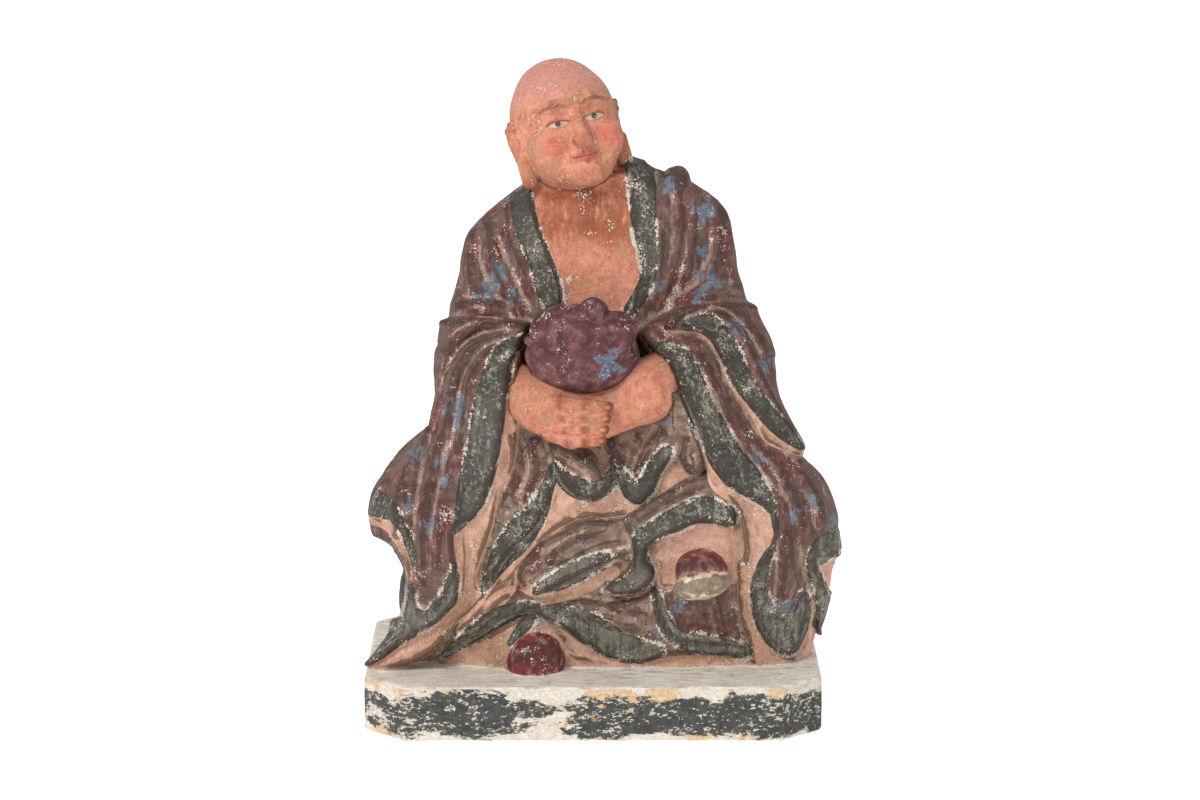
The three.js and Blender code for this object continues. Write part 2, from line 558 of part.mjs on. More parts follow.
const EAR_TURN = new THREE.Euler(0.12, 0, 0);

function earGeometries() {
  return [-1, 1].flatMap((side) => [
    ballGeometry(V(side * 7.9, 0.4, 0.2), V(1.3, 2.3, 3.2), EAR_TURN),
    limbGeometry(V(side * 7.9, 0.2, -1.6), V(side * 7.4, -0.4, -7.2), 1.3, 1.25, 10),
  ]);
}

function toFigure(geometry, centre, turn = new THREE.Euler()) {
  return geometry.applyMatrix4(new THREE.Matrix4().makeRotationFromEuler(turn))
    .translate(centre.x, centre.y, centre.z);
}

function figureSolid() {
  const headParts = [ballSkin(head, 14, 64, 0.12), ...earGeometries()]
    .map((geometry) => toFigure(geometry, HEAD_CENTRE, HEAD_TURN));
  const pieces = [
    bodySkin(),
    toFigure(ballSkin(bundle, 12, 32, 0.25), BUNDLE_CENTRE),
    limbGeometry(V(-2, -0.5, 70), V(-4, -0.5, 84), 7.6, 7, 18),
    ...headParts,
    toFigure(ballSkin((q) => limbs(q.add(HANDS_CENTRE), HANDS, 2), 18, 32, 0.25), HANDS_CENTRE),
    ...fingerGeometries(),
    ...shoeGeometries(),
  ];
  const whole = pieces.map(solidOf).reduce((sum, piece) => sum.add(piece));
  return whole.scale([PART, PART, PART]).translate([0, 0, PLINTH_HEIGHT]);
}

// The plinth: a slab with cut corners and slightly worn edges
function plinthSolid() {
  const [x, y] = [PLINTH_LENGTH / 2 - PLINTH_WORN_EDGE, PLINTH_DEPTH / 2 - PLINTH_WORN_EDGE];
  const cut = PLINTH_CORNER;
  const outline = new THREE.Shape([
    [x - cut, -y], [x, -y + cut], [x, y - cut], [x - cut, y],
    [-x + cut, y], [-x, y - cut], [-x, -y + cut], [-x + cut, -y],
  ].map(([a, b]) => new THREE.Vector2(a, b)));
  const slab = new THREE.ExtrudeGeometry(outline, {
    depth: PLINTH_HEIGHT - 2 * PLINTH_WORN_EDGE,
    bevelThickness: PLINTH_WORN_EDGE,
    bevelSize: PLINTH_WORN_EDGE,
    bevelSegments: 1,
    curveSegments: 1,
  });
  return solidOf(slab.translate(0, 0, PLINTH_WORN_EDGE));
}

const pottery = new THREE.MeshStandardMaterial({ color: 0x6b3a34, roughness: 0.85, metalness: 0 });
const luohan = new THREE.Mesh(geometryOf(figureSolid().add(plinthSolid())), pottery);
luohan.name = 'luohan_figure';

const part = new THREE.Group();
part.add(luohan);

export default part;
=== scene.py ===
# A seated luohan in worn painted pottery. The clay surface is worked out as a field of signed
# distances, with the folds drawn on a sight plane as a viewer in front sees them, and the paint,
# gesso and bare clay are laid over it by measures kept on the mesh's points.
import math
from concurrent.futures import ThreadPoolExecutor
import bpy
import numpy as np
import openvdb
from mathutils import Euler, Matrix, Vector


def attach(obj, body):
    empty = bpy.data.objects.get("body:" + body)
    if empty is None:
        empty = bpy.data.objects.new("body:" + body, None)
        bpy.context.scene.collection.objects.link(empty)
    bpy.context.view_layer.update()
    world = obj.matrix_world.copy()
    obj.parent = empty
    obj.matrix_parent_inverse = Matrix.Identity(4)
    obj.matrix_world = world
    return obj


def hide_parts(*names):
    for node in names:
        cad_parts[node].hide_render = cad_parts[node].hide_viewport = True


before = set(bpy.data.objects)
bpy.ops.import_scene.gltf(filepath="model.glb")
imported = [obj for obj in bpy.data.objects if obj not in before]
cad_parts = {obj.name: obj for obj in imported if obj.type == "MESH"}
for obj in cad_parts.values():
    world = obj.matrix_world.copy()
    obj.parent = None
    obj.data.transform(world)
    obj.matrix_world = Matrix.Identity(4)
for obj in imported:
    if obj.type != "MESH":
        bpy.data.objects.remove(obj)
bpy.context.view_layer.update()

# Sizes in metres
PLINTH_LENGTH = 0.290
PLINTH_DEPTH = 0.195
PLINTH_HEIGHT = 0.035
PLINTH_CORNER = 0.026
FIGURE_HEIGHT = 0.385

# The figure is laid out in parts, hundredths of its height, from the middle of the plinth's top
PART = FIGURE_HEIGHT / 100
# The viewer's eye: its distance, how steeply it looks down, and the height it aims at
EYE_DISTANCE = 675.0
EYE_RISE = math.radians(11)
EYE_AIM = 48.0
CLAY_SEED = 11


# Fields of signed distance over arrays of points
def smoothstep(x, low, high):
    t = np.clip((x - low) / (high - low), 0, 1)
    return t * t * (3 - 2 * t)


def melt(a, b, soft):
    near = np.maximum(soft - np.abs(a - b), 0)
    return np.minimum(a, b) - near * near / (4 * soft)


def carve(a, b, soft):
    return -melt(-a, b, soft)


def ellipsoid(p, centre, radii):
    q = (p - np.float32(centre)) / np.float32(radii)
    first = np.sqrt((q * q).sum(1))
    q = q / np.float32(radii)
    return first * (first - 1) / np.maximum(np.sqrt((q * q).sum(1)), 1e-6)


def limb(p, start, end, start_radius, end_radius):
    start, end = np.float32(start), np.float32(end)
    along = end - start
    q = p - start
    t = np.clip(q @ along / (along @ along), 0, 1)
    away = q - t[:, None] * along
    return np.sqrt((away * away).sum(1)) - (start_radius + (end_radius - start_radius) * t)


def limbs(p, rows, soft):
    whole = limb(p, *rows[0])
    for row in rows[1:]:
        whole = melt(whole, limb(p, *row), soft)
    return whole


# Smooth noise from -1 to 1, from a seeded block of values
NOISE_BLOCK = np.random.default_rng(CLAY_SEED).uniform(-1, 1, (32, 32, 32)).astype(np.float32)


def noise(p, size):
    q = p / np.float32(size)
    low = np.floor(q).astype(np.int32)
    t = q - low
    t = t * t * (3 - 2 * t)
    value = 0
    for corner in range(8):
        step = np.array([corner & 1, corner >> 1 & 1, corner >> 2 & 1])
        share = np.prod(np.where(step, t, 1 - t), axis=1)
        at = (low + step) & 31
        value = value + share * NOISE_BLOCK[at[:, 0], at[:, 1], at[:, 2]]
    return value


# Reach of the robed mass from its axis: [height, left, right, front, back, squareness]
MASS = np.array([
    [-2, 33.6, 36.2, 13.0, 21.5, 3.2],
    [4, 32.4, 36.6, 14.0, 21.5, 3.2],
    [10, 33.0, 38.2, 15.5, 21.5, 3.2],
    [15, 31.8, 39.6, 17.0, 21.0, 3.2],
    [18, 30.6, 39.8, 17.5, 20.5, 3.2],
    [22, 35.2, 39.4, 18.0, 20.0, 3.0],
    [26, 35.6, 38.4, 18.5, 19.5, 3.0],
    [31, 33.6, 36.0, 18.0, 18.5, 2.8],
    [36, 28.8, 30.4, 16.5, 17.5, 2.6],
    [42, 21.2, 25.4, 14.0, 16.5, 2.4],
    [47, 21.0, 26.8, 12.0, 16.0, 2.3],
    [53, 22.8, 26.4, 11.0, 15.5, 2.3],
    [58, 23.0, 23.6, 10.5, 15.0, 2.3],
    [64, 21.4, 23.2, 10.0, 14.5, 2.3],
    [70, 20.2, 22.4, 9.2, 13.5, 2.3],
    [75, 16.6, 21.6, 8.0, 12.0, 2.2],
    [79, 11.6, 16.8, 7.0, 10.5, 2.2],
    [82, 8.6, 9.6, 6.2, 9.0, 2.2],
    [84, 7.2, 7.8, 5.6, 8.0, 2.0],
    [88, 6.0, 5.0, 5.0, 6.5, 2.0],
])
# Heights at which the mass is cut off
MASS_TOP = 83.0
MASS_FOOT = -2.0


def eased_table(rows, steps=400):
    """The table's columns at many heights, eased between its rows."""
    heights = np.linspace(rows[0, 0], rows[-1, 0], steps)
    i = np.clip(np.searchsorted(rows[:, 0], heights, side="left") - 1, 0, len(rows) - 2)
    before, start, end, after = (rows[np.clip(i + k, 0, len(rows) - 1)] for k in (-1, 0, 1, 2))
    gap = (end[:, 0] - start[:, 0])[:, None]
    t = ((heights - start[:, 0]) / gap[:, 0])[:, None]
    rise = end - start
    start_slope = (end - before) / np.maximum((end - before)[:, :1], gap) * gap
    end_slope = (after - start) / np.maximum((after - start)[:, :1], gap) * gap
    curve = start + t * (start_slope + t * (
        3 * rise - 2 * start_slope - end_slope + t * (start_slope + end_slope - 2 * rise)))
    return heights, curve[:, 1:]


MASS_HEIGHTS, MASS_REACHES = eased_table(MASS)


def mass(p):
    left, right, front, back, power = (
        np.interp(p[:, 2], MASS_HEIGHTS, column).astype(np.float32) for column in MASS_REACHES.T)
    x = np.abs(p[:, 0]) / np.where(p[:, 0] < 0, left, right)
    y = np.abs(p[:, 1]) / np.where(p[:, 1] < 0, front, back)
    share = np.maximum(x ** power + y ** power, 1e-6) ** (1 / power)
    d = np.where(share < 0.05, -front, np.hypot(p[:, 0], p[:, 1]) * (1 - 1 / share))
    return np.maximum(d, np.maximum(p[:, 2] - MASS_TOP, MASS_FOOT - p[:, 2]))


# Limbs of cloth and body: (start, end, start radius, end radius)
ARMS = [
    ((-14, 1, 67), (-18.2, -4, 50), 7, 6.2),
    ((-18.2, -4, 50), (-13, -14.2, 48.4), 5.6, 3.9),
    ((15.5, 1, 68.5), (21.2, -4, 50), 7.2, 6.6),
    ((21.2, -4, 50), (12.8, -14.2, 49.6), 6.4, 4.1),
]
KNEES = [
    ((-8, -4, 27), (-24, -11, 23), 9, 9.5),
    ((-24, -11, 23), (-14, -11, 4), 8, 5),
    ((8, -4, 27), (27, -10, 24), 9, 9),
    ((27, -10, 24), (18, -12, 15), 7.5, 6),
]
SLEEVE_FALL = [
    ((9.5, -12.5, 54), (16, -13, 51), 3.2, 3.4),
    ((-12.5, -12, 52.5), (-17, -12, 50), 3.0, 3.2),
    ((-15, -14, 46), (-20, -15.5, 24), 4, 3.4),
    ((-19, -9, 46), (-25.5, -14, 24), 4.6, 4),
    ((14, -14, 47), (23, -15, 26), 4.2, 3.6),
    ((23, -9, 47), (31, -11, 27), 5, 4),
]
HEM_TAIL = ((-26, -11, 6), (-34.6, -13.2, -0.6), 3.4, 1.3)
# Ellipsoids: (centre, radii)
SHOULDER_LUMP = ((13.6, -1.5, 79.6), (2.4, 4.2, 2.6))
COLLAR_GAP = ((10.8, -2, 81.6), (1.0, 6, 2.4))

# The cloths of the front on the sight plane, the lower ones first: (cloth, how far its face
# stands out, outline). Across is to the viewer's right, and up from the figure's foot.
PANELS = [
    ("skin", -1.3, [(-10, 77), (-9.2, 70.6), (-7.2, 65), (-5.4, 60.3), (-4.5, 55), (5, 55), (7.4, 60.5),
        (7.7, 65), (6.6, 70.1), (6.2, 75), (5.6, 80), (-3, 83)]),
    ("brown", -1.6, [(-21, 22), (-15, 41), (-11.5, 51), (9, 51), (14, 42), (20, 31), (31, 22), (29, 8),
        (30, -4), (-20, -4), (-34, -4), (-26, 8), (-24, 18)]),
    ("lining", -0.9, [(-25.5, -2.6), (-20, 1), (-14, 4.5), (-10, 5.5), (-8.5, 4), (-4.6, 2), (-3, -1),
        (12, -3), (28, -2.6), (28, -5), (-26, -5)]),
    ("robe", -1.3, [(9.6, 9), (10.9, 11.8), (17, 12.5), (23.7, 12.5), (24.3, 4), (24.6, -0.8),
        (14, 0.4), (11, 4)]),
    ("brown", -0.3, [(-9, 6.6), (-3, 8.2), (3, 7.6), (8, 8.6), (10.4, 10), (11.4, 6), (14.5, 2),
        (25, 0.6), (25.3, -1.4), (14, -1.2), (10.9, -1.9), (7.5, -2.7), (2.8, -2), (-0.5, 0), (-4.6, 3),
        (-8.5, 5)]),
    ("lining", -1.1, [(7.4, 18), (9.4, 15.6), (11.5, 18.5), (14, 19.8), (19, 20.8), (24, 20.4),
        (25, 17), (24.4, 12), (22.5, 10.5), (12, 9.8), (10.6, 12), (10.6, 14), (8, 15)]),
    ("brown", 0.1, [(-23, 1.8), (-19, 8.8), (-13.5, 10.2), (-10, 8.6), (-9, 6.5), (-14, 5.5),
        (-20, 2)]),
    ("brown", 0.1, [(-12.4, 39), (-12.4, 34.7), (-13.5, 29.8), (-15.7, 24.8), (-16.8, 19.8),
        (-18.6, 15), (-19.4, 11.5), (-19.2, 9), (-17.9, 9.3), (-14.6, 14.8), (-9.6, 20.2), (-7.1, 24.8),
        (-5.9, 29.8), (-6.5, 36)]),
    ("lining", -0.5, [(-6.5, 31), (-7, 25), (-9.4, 20.5), (-14.4, 14.8), (-18, 8.8), (-23, 3),
        (-20, 2.6), (-15, 7), (-13, 9.5), (-11.8, 13.5), (-9, 17), (-4, 20.5), (-1.3, 21.4),
        (0.4, 21.8), (6.4, 22.6), (9.2, 24), (10.3, 25.3), (14, 27), (17, 29), (15, 33), (8, 34),
        (-3, 33)]),
    ("brown", 0.4, [(-9, 17.5), (-5, 19.8), (-1.3, 21.2), (3, 21.4), (6.4, 21.8), (7.4, 19), (7, 16),
        (4, 14.9), (3.1, 14.6), (-0.2, 13), (-4.6, 10.8), (-9.4, 8.6), (-12.5, 11), (-12, 14)]),
    ("brown", 1.0, [(5, 21), (6.5, 22.7), (9.5, 24.7), (13, 26.7), (16, 28.5), (20, 29), (21, 26.5),
        (23.6, 22.6), (23, 20.2), (18, 20.8), (13, 18.8), (9.4, 16.6), (8.8, 14.6), (10.2, 13),
        (9.6, 10.7), (6.4, 8.7), (2, 9.2), (3.6, 11.6), (5.4, 13.2), (6.4, 15.6), (6.2, 18)]),
    ("brown", 1.7, [(-14.5, 38), (-11, 37), (-8, 36), (-6.5, 31), (-4.3, 26.8), (-0.8, 24.5),
        (1.8, 25.4), (3.9, 27.9), (5.2, 25.2), (7.5, 24), (9.8, 26), (11.4, 29.4), (13.6, 31.6),
        (16, 28.9), (18.6, 30), (17.4, 36), (13, 43), (-13, 43)]),
    ("lining", 0.7, [(-12, 51), (-12.6, 45), (-12.2, 39.7), (-12.3, 34.7), (-13.4, 29.8), (-15.6, 24.8),
        (-16.7, 19.8), (-18.5, 15), (-19.4, 11.5), (-18.6, 8.8), (-20.5, 6), (-24, 2.7), (-26.5, -0.6),
        (-31, -3), (-38, -4), (-36, -1), (-29.5, 3.2), (-24.5, 7), (-22.9, 9.3), (-22.4, 12),
        (-23.4, 14.8), (-23.8, 19.8), (-20, 24.8), (-17.5, 29.8), (-16, 34.7), (-15.5, 39.7),
        (-15.5, 46)]),
    ("lining", 0.7, [(9.6, 50.5), (13, 46), (15, 41.5), (17, 36.5), (18.6, 31), (19.6, 26.8),
        (23.2, 23.6), (24.4, 21.1), (24.9, 16.6), (24.1, 14.1), (24, 10.9), (24.1, 7), (24.9, 3.5),
        (25.9, 0.3), (26.7, -3), (33, -3.4), (31.8, -1.2), (29, 1.6), (27.4, 4.9), (27, 9.3),
        (27.3, 12.4), (28.8, 15.4), (30.4, 18.8), (30.2, 23), (27, 27), (23, 31), (20, 36), (17.6, 41),
        (15.5, 45), (12.5, 50)]),
    ("robe", 1.9, [(-8.5, 54), (-11.5, 52.2), (-12.6, 49.5), (-14, 46), (-14.5, 40), (-15.1, 35),
        (-16.3, 30), (-17.9, 25), (-19.6, 21.8), (-23, 19.8), (-22.9, 15), (-22.2, 12), (-22.9, 8.6),
        (-25.6, 5.4), (-30, 2.0), (-38.5, -3.4), (-46, 0), (-46, 40), (-30, 54)]),
    ("robe", 1.9, [(8, 52.5), (12.4, 48.6), (14.6, 44), (16.4, 39.7), (18.4, 34.7), (19.8, 30.4),
        (22.2, 27), (26.6, 24.4), (29.4, 22.6), (30.1, 19.4), (29.2, 16.6), (27.6, 14), (26.6, 11.4),
        (26.3, 9), (26.6, 5.8), (27.7, 2.6), (30, -0.4), (32.4, -2), (34.2, 0), (35.6, 4), (37, 2),
        (48, 2), (48, 40), (32, 56), (16, 57)]),
    ("hem", 2.1, [(-23.2, 14.7), (-22.4, 11.5), (-22.6, 8), (-24.3, 5.8), (-26.9, 3.5), (-32.6, 0.1),
        (-37.4, -2.8), (-37, -1), (-33.2, 5.1), (-31.4, 8), (-30.8, 11), (-29.8, 10.6), (-29.2, 7),
        (-27.8, 6.4), (-26, 8.6), (-24.4, 11.4)]),
    ("stone", -0.6, [(-38, 17.6), (-34, 17.4), (-32.4, 15.4), (-31.2, 12), (-31.4, 8.4), (-32.2, 5.4),
        (-35, 5.2), (-38, 8)]),
    ("lining", 0.7, [(37.4, 14.6), (40.4, 15), (43, 15), (43, 10.4), (39.4, 9.6), (38.4, 11.6)]),
    ("lining", 0.7, [(36.6, 8.4), (37.4, 5.4), (37.4, 2.2), (40, 1), (40, -3), (33.6, -2.6), (35, 1),
        (36.2, 5)]),
    ("hem", 1.9, [(26.5, 9), (27, 5.2), (29.2, 1.2), (32.4, -1.6), (34.4, 0.4), (35.6, 4.4),
        (36.2, 8.6), (34.4, 9.4), (33.4, 6.4), (31.2, 6.2), (29.6, 8.4), (28.4, 11.4), (27, 11.4)]),
    ("lining", 2.4, [(12.6, 52.6), (17.6, 52.2), (21, 48.4), (22.5, 44), (25.1, 40.5), (27, 37.3),
        (28.6, 34.4), (31.5, 32.9), (34.5, 31.9), (35.4, 33.2), (33, 36), (29, 41), (25, 47),
        (20, 54)]),
    ("robe", 3.1, [(12, 53.4), (18, 56.8), (23, 55.4), (26.4, 51), (28.4, 46.4), (30.6, 42), (33, 38),
        (35.6, 34), (34.8, 32.8), (31.6, 34.6), (28.8, 37.2), (26.2, 40.2), (23.4, 44), (21.4, 48.6),
        (18, 52.4)]),
]

# Strips painted along an edge: (cloth, [(across, up, half width), ...])
STRIPS = [
    ("hem", [(-12.4, 78, 1.4), (-11.9, 75, 1.8), (-11, 70.1, 1.9), (-9, 65.2, 1.8), (-7.4, 60.3, 2.0),
        (-6.2, 56, 1.4)]),
    ("hem", [(7.8, 80.5, 2.3), (8.3, 75, 2.1), (8.5, 70.1, 1.9), (9.1, 65.2, 1.4), (9.3, 62, 1.1),
        (7.9, 58.9, 1.1), (6, 56, 0.9)]),
    ("hem", [(-11.6, 51.4, 0.7), (-14.6, 49.4, 1.6), (-16.2, 44.7, 2.3), (-17.4, 39.7, 2.5),
        (-18, 34.7, 2.6), (-19.2, 29.2, 2.7), (-20.5, 24.6, 2.3), (-22.1, 21.2, 1.1),
        (-23, 19.4, 0.3)]),
    ("hem", [(9.8, 50.4, 0.5), (13, 49.4, 1.5), (15.4, 46.4, 2.1), (17.9, 40, 2.3), (20.2, 35.6, 2.5),
        (22.4, 31.4, 2.7), (25.2, 28.4, 2.5), (28, 25.6, 1.6), (29.9, 22.8, 0.6), (30.5, 19.8, 0.3)]),
    ("hem", [(15.6, 54.2, 0.6), (19.4, 54, 1.4), (22.4, 50, 1.6), (24.8, 44.6, 1.5), (27.6, 40.8, 1.4),
        (29.9, 38, 1.4), (32.4, 35.5, 1.1), (34.8, 33.4, 0.4)]),
    ("hem", [(-6, 29.5, 0.8), (-3.6, 27.2, 1.5), (-0.6, 26.1, 1.6), (2, 27, 1.3), (3.9, 29, 1.2),
        (5.5, 27.4, 1.3), (7.4, 25.6, 1.6), (9.1, 27.4, 1.5), (10.4, 30, 1.3), (12.2, 32.6, 1.1)]),
    ("hem", [(-6.4, 30, 0.8), (-7.7, 26.6, 1.0), (-9.4, 22.7, 1.7), (-12.5, 18.6, 2.4),
        (-15.7, 14.4, 1.6), (-18.2, 9.8, 0.5)]),
    ("lining", [(-11.2, 9.8, 0.9), (-8.4, 7.6, 0.8), (-3.4, 9.2, 0.9), (0.8, 11.1, 0.8),
        (3.4, 12.6, 0.9)]),
    ("hem", [(-9.2, 9.6, 0.8), (-5.5, 11.3, 1.5), (-2, 13.1, 1.6), (2.2, 15.0, 1.0)]),
    ("hem", [(2.6, 10.2, 0.8), (5.3, 10.2, 1.2), (8.3, 12.3, 1.8), (7.9, 15.6, 1.0), (8.2, 18.4, 1.3),
        (13.1, 20.9, 1.8), (18, 23, 2.1), (22.4, 21.9, 1.7)]),
    ("lining", [(-4.9, 2.0, 0.5), (-0.5, -1.4, 0.8), (3, -3.1, 0.8), (8, -3.7, 0.8), (14, -2.4, 0.9),
        (26, -2.6, 0.9)]),
    ("hem", [(-8.6, 6.0, 0.9), (-4.2, 5.4, 1.8), (0, 2.9, 2.5), (4, 0.4, 2.3), (8, -0.6, 1.9),
        (11, -0.6, 1.0)]),
    ("hem", [(10.5, 9, 0.7), (11.2, 6, 0.9), (12.8, 2.9, 1.2), (15.5, 1.2, 1.4), (20, 0.4, 1.4),
        (25.2, -0.6, 1.2)]),
    ("hem", [(-9.4, 6.6, 0.8), (-11.5, 6.6, 1.0), (-15.7, 5.2, 1.4), (-20.1, 2.3, 1.2),
        (-24.6, -1, 0.5)]),
    ("hem", [(-9.3, 6, 0.7), (-11.4, 3.8, 0.9), (-13.8, 0.8, 0.4)]),
    ("hem", [(29.6, 16.6, 0.4), (28.2, 13, 1.0), (27.4, 9.3, 1.1), (28, 5, 1.1), (30, 1.2, 1.0),
        (32.6, -0.4, 0.9), (34.4, 2.4, 0.9), (35.3, 6, 0.9), (34.9, 8.6, 0.6)]),
    ("hem", [(-36.8, 25, 1.7), (-35.4, 23.4, 2.1), (-33.4, 21.4, 1.5), (-31.4, 18, 1.2),
        (-30.4, 15, 0.7), (-30.5, 12.8, 0.3)]),
    ("lining", [(-36.6, 21.2, 0.5), (-34.2, 20.3, 0.6), (-32.8, 18.4, 0.5), (-31.6, 16, 0.4),
        (-30.8, 13.4, 0.4), (-30.5, 11, 0.3)]),
    ("hem", [(41, 18, 1.4), (38.6, 16.6, 2.0), (36.7, 13.6, 1.0), (38, 10, 0.9), (38.4, 7, 1.0),
        (37.4, 4, 0.7)]),
]
STRIP_RISE = {"hem": 0.12, "lining": 0.1}

# Folds: (how far the ridge stands out, its half width, line)
FOLDS = [
    (0.8, 0.9, [(-10.8, 52.2), (-13.5, 55.8), (-17.5, 57.3), (-23.3, 57.1)]),
    (1.0, 1.0, [(-10.8, 52.0), (-14.4, 54.5), (-18.8, 55.6), (-24.8, 53.6)]),
    (0.9, 0.9, [(-10.8, 51.8), (-14.4, 53.2), (-19.7, 53.2), (-25.5, 49)]),
    (1.0, 0.9, [(-11, 51.5), (-14, 51.9), (-18.8, 51), (-22.6, 47.4), (-24.4, 42)]),
    (0.9, 0.8, [(-12.4, 51), (-17, 49.6), (-20.4, 45.4), (-21.7, 39), (-22.6, 32)]),
    (0.8, 1.0, [(-23.6, 45), (-24.6, 38), (-27, 30), (-28.4, 20), (-28.2, 10)]),
    (0.9, 1.1, [(-22.4, 36), (-24, 28), (-25.4, 20), (-25.8, 12)]),
    (0.9, 1.3, [(-27.5, 37), (-31, 31), (-33, 24), (-32.6, 18)]),
    (0.9, 1.2, [(-14.4, 75), (-13.9, 68.3), (-11.3, 62.1), (-8.3, 55.6)]),
    (0.9, 1.2, [(-17.5, 71), (-16.6, 63.4), (-13, 57.6), (-10.4, 53.4)]),
    (0.8, 1.2, [(-21.1, 66), (-19.9, 60), (-15, 56), (-11, 53)]),
    (0.9, 1.1, [(14.4, 81), (14.7, 74), (14.6, 67), (12.9, 60), (10.4, 54)]),
    (0.8, 1.0, [(17, 77), (17.2, 69), (15.6, 61), (11.8, 54)]),
    (0.8, 1.2, [(20.9, 74), (20.8, 65), (16.6, 58.4), (12.3, 53.4)]),
    (0.7, 0.9, [(11.6, 70), (11.4, 62), (9.6, 56)]),
    (0.9, 1.0, [(10.6, 52), (14.6, 56.4), (19.8, 58.2), (26, 58.6)]),
    (0.9, 1.0, [(12, 52.6), (17.2, 57.2), (22.6, 57.4), (27.4, 52.6), (29.6, 48)]),
    (0.8, 0.8, [(17.5, 49), (20.6, 44), (23.6, 37.4), (28, 31.4), (32.4, 26)]),
    (0.8, 0.9, [(22.6, 42), (26, 36), (30.4, 31), (34, 24), (35.4, 14)]),
    (0.9, 1.4, [(33.6, 31), (37, 26), (39, 20)]),
    (0.7, 1.0, [(31.8, 20), (32, 13), (31.4, 6)]),
    (-0.7, 0.9, [(34.6, 22), (34.8, 14), (36.4, 8)]),
    (0.7, 0.8, [(-14.2, 36), (-13.4, 30), (-15.2, 23)]),
    (0.7, 0.9, [(-10.6, 35), (-9.6, 29), (-12, 24.4)]),
    (1.1, 1.3, [(-4, 22.5), (-10, 16.4), (-16.4, 9), (-24, 2), (-30, -2)]),
    (0.8, 0.8, [(-9.8, 8.4), (-15, 8.2), (-21, 3.2)]),
    (-0.8, 0.8, [(-20.6, 20), (-20.4, 12), (-21.4, 7), (-26, 2)]),
    (0.8, 0.8, [(7.2, 20.8), (12, 24.2), (19, 27)]),
    (0.7, 0.9, [(-8, 14), (-3, 17.6), (3, 20)]),
    (0.6, 0.8, [(-10, 12.4), (-5, 14.6), (0.6, 17.2), (5.6, 17.8)]),
    (-0.6, 0.7, [(-9, 15.6), (-4, 18.6), (0, 20)]),
    (0.8, 1.0, [(-7.6, 35), (-2, 31.4), (1.4, 28.4)]),
    (0.7, 0.9, [(2.8, 35), (3.4, 31.6), (4, 29.4)]),
    (0.8, 1.0, [(12, 36.5), (9, 32), (7.4, 27)]),
    (-0.8, 0.9, [(-0.6, 34), (1.4, 31), (2.4, 28.4)]),
    (0.7, 0.8, [(15.6, 35.4), (15, 31.6), (17.4, 28.8)]),
    (0.6, 1.2, [(12.8, 9.4), (13.6, 5.4), (16, 2.6)]),
    (0.6, 1.2, [(-7, 6.6), (-1, 5.6), (5, 4), (9.4, 4)]),
    (0.5, 1.0, [(2, 7.4), (7, 6.2), (10, 5)]),
    (0.7, 1.2, [(20.6, 10), (21.6, 5), (22.4, 2)]),
    (-0.6, 1.0, [(-3, 24.4), (2, 23.2), (6.6, 24)]),
    (0.5, 0.7, [(21.6, 28), (24.6, 22), (25.8, 15), (25.2, 6)]),
]

# Folds down the back and sides: (degrees from the front, top, foot, rise, half width)
BACK_FOLDS = [
    (106, 64, 6, 1.2, 9), (137, 70, 4, 1.5, 10), (170, 66, 3, 1.4, 10), (204, 72, 5, 1.5, 10),
    (236, 68, 4, 1.4, 10), (262, 62, 7, 1.1, 8),
]

# Cloths with a paint of their own, and the stone: the rest of the front is robe
CLOTHS = ("skin", "lining", "brown", "hem", "stone")
FOLD_STRENGTH = 1.4
# Folds fall off more steeply on this side of their line
FOLD_LEAN = -1
FOLD_STEEP = 0.8
FOLD_GENTLE = 1.7
STRIP_SPREAD = 0.2
# Half the width over which a cloth's edge rises
PANEL_EDGE = 0.32
STRIP_EDGE = 0.12
# Corners and step of the maps of the sight plane, and how far inside or outside they tell
MAP_LOW = np.array([-48.0, -12.0])
MAP_HIGH = np.array([50.0, 90.0])
MAP_STEP = 0.125
FAR = 3.0


def curve_points(points, closed, per_point=5):
    """A smooth line through a few chosen points, split into short steps."""
    p = np.array(points, float)
    n = len(p)
    out = []
    for i in range(n if closed else n - 1):
        if closed:
            a, b, c, d = (p[(i + k) % n] for k in (-1, 0, 1, 2))
        else:
            a, b, c, d = (p[min(max(i + k, 0), n - 1)] for k in (-1, 0, 1, 2))
        for t in np.arange(per_point) / per_point:
            out.append(0.5 * (2 * b + (c - a) * t + (2 * a - 5 * b + 4 * c - d) * t * t
                              + (3 * b - a - 3 * c + d) * t ** 3))
    out.append(p[0] if closed else p[-1])
    return np.array(out)


def nearest(run, x, y):
    """Distance from each point to a run of steps, how far along the run that is, and on which side."""
    best = np.full(x.shape, np.inf)
    share = np.zeros(x.shape)
    side = np.zeros(x.shape)
    for i, (a, b) in enumerate(zip(run[:-1], run[1:])):
        d = b[:2] - a[:2]
        t = np.clip(((x - a[0]) * d[0] + (y - a[1]) * d[1]) / max(d @ d, 1e-9), 0, 1)
        far = np.hypot(x - a[0] - d[0] * t, y - a[1] - d[1] * t)
        closer = far < best
        best = np.where(closer, far, best)
        share = np.where(closer, i + t, share)
        side = np.where(closer, np.sign(d[0] * (y - a[1]) - d[1] * (x - a[0])), side)
    return best, share, side


def inside(run, x, y):
    within = np.zeros(x.shape, bool)
    for a, b in zip(run[:-1], run[1:]):
        if a[1] == b[1]:
            continue
        crosses = (a[1] > y) != (b[1] > y)
        within ^= crosses & (x < a[0] + (b[0] - a[0]) * (y - a[1]) / (b[1] - a[1]))
    return within


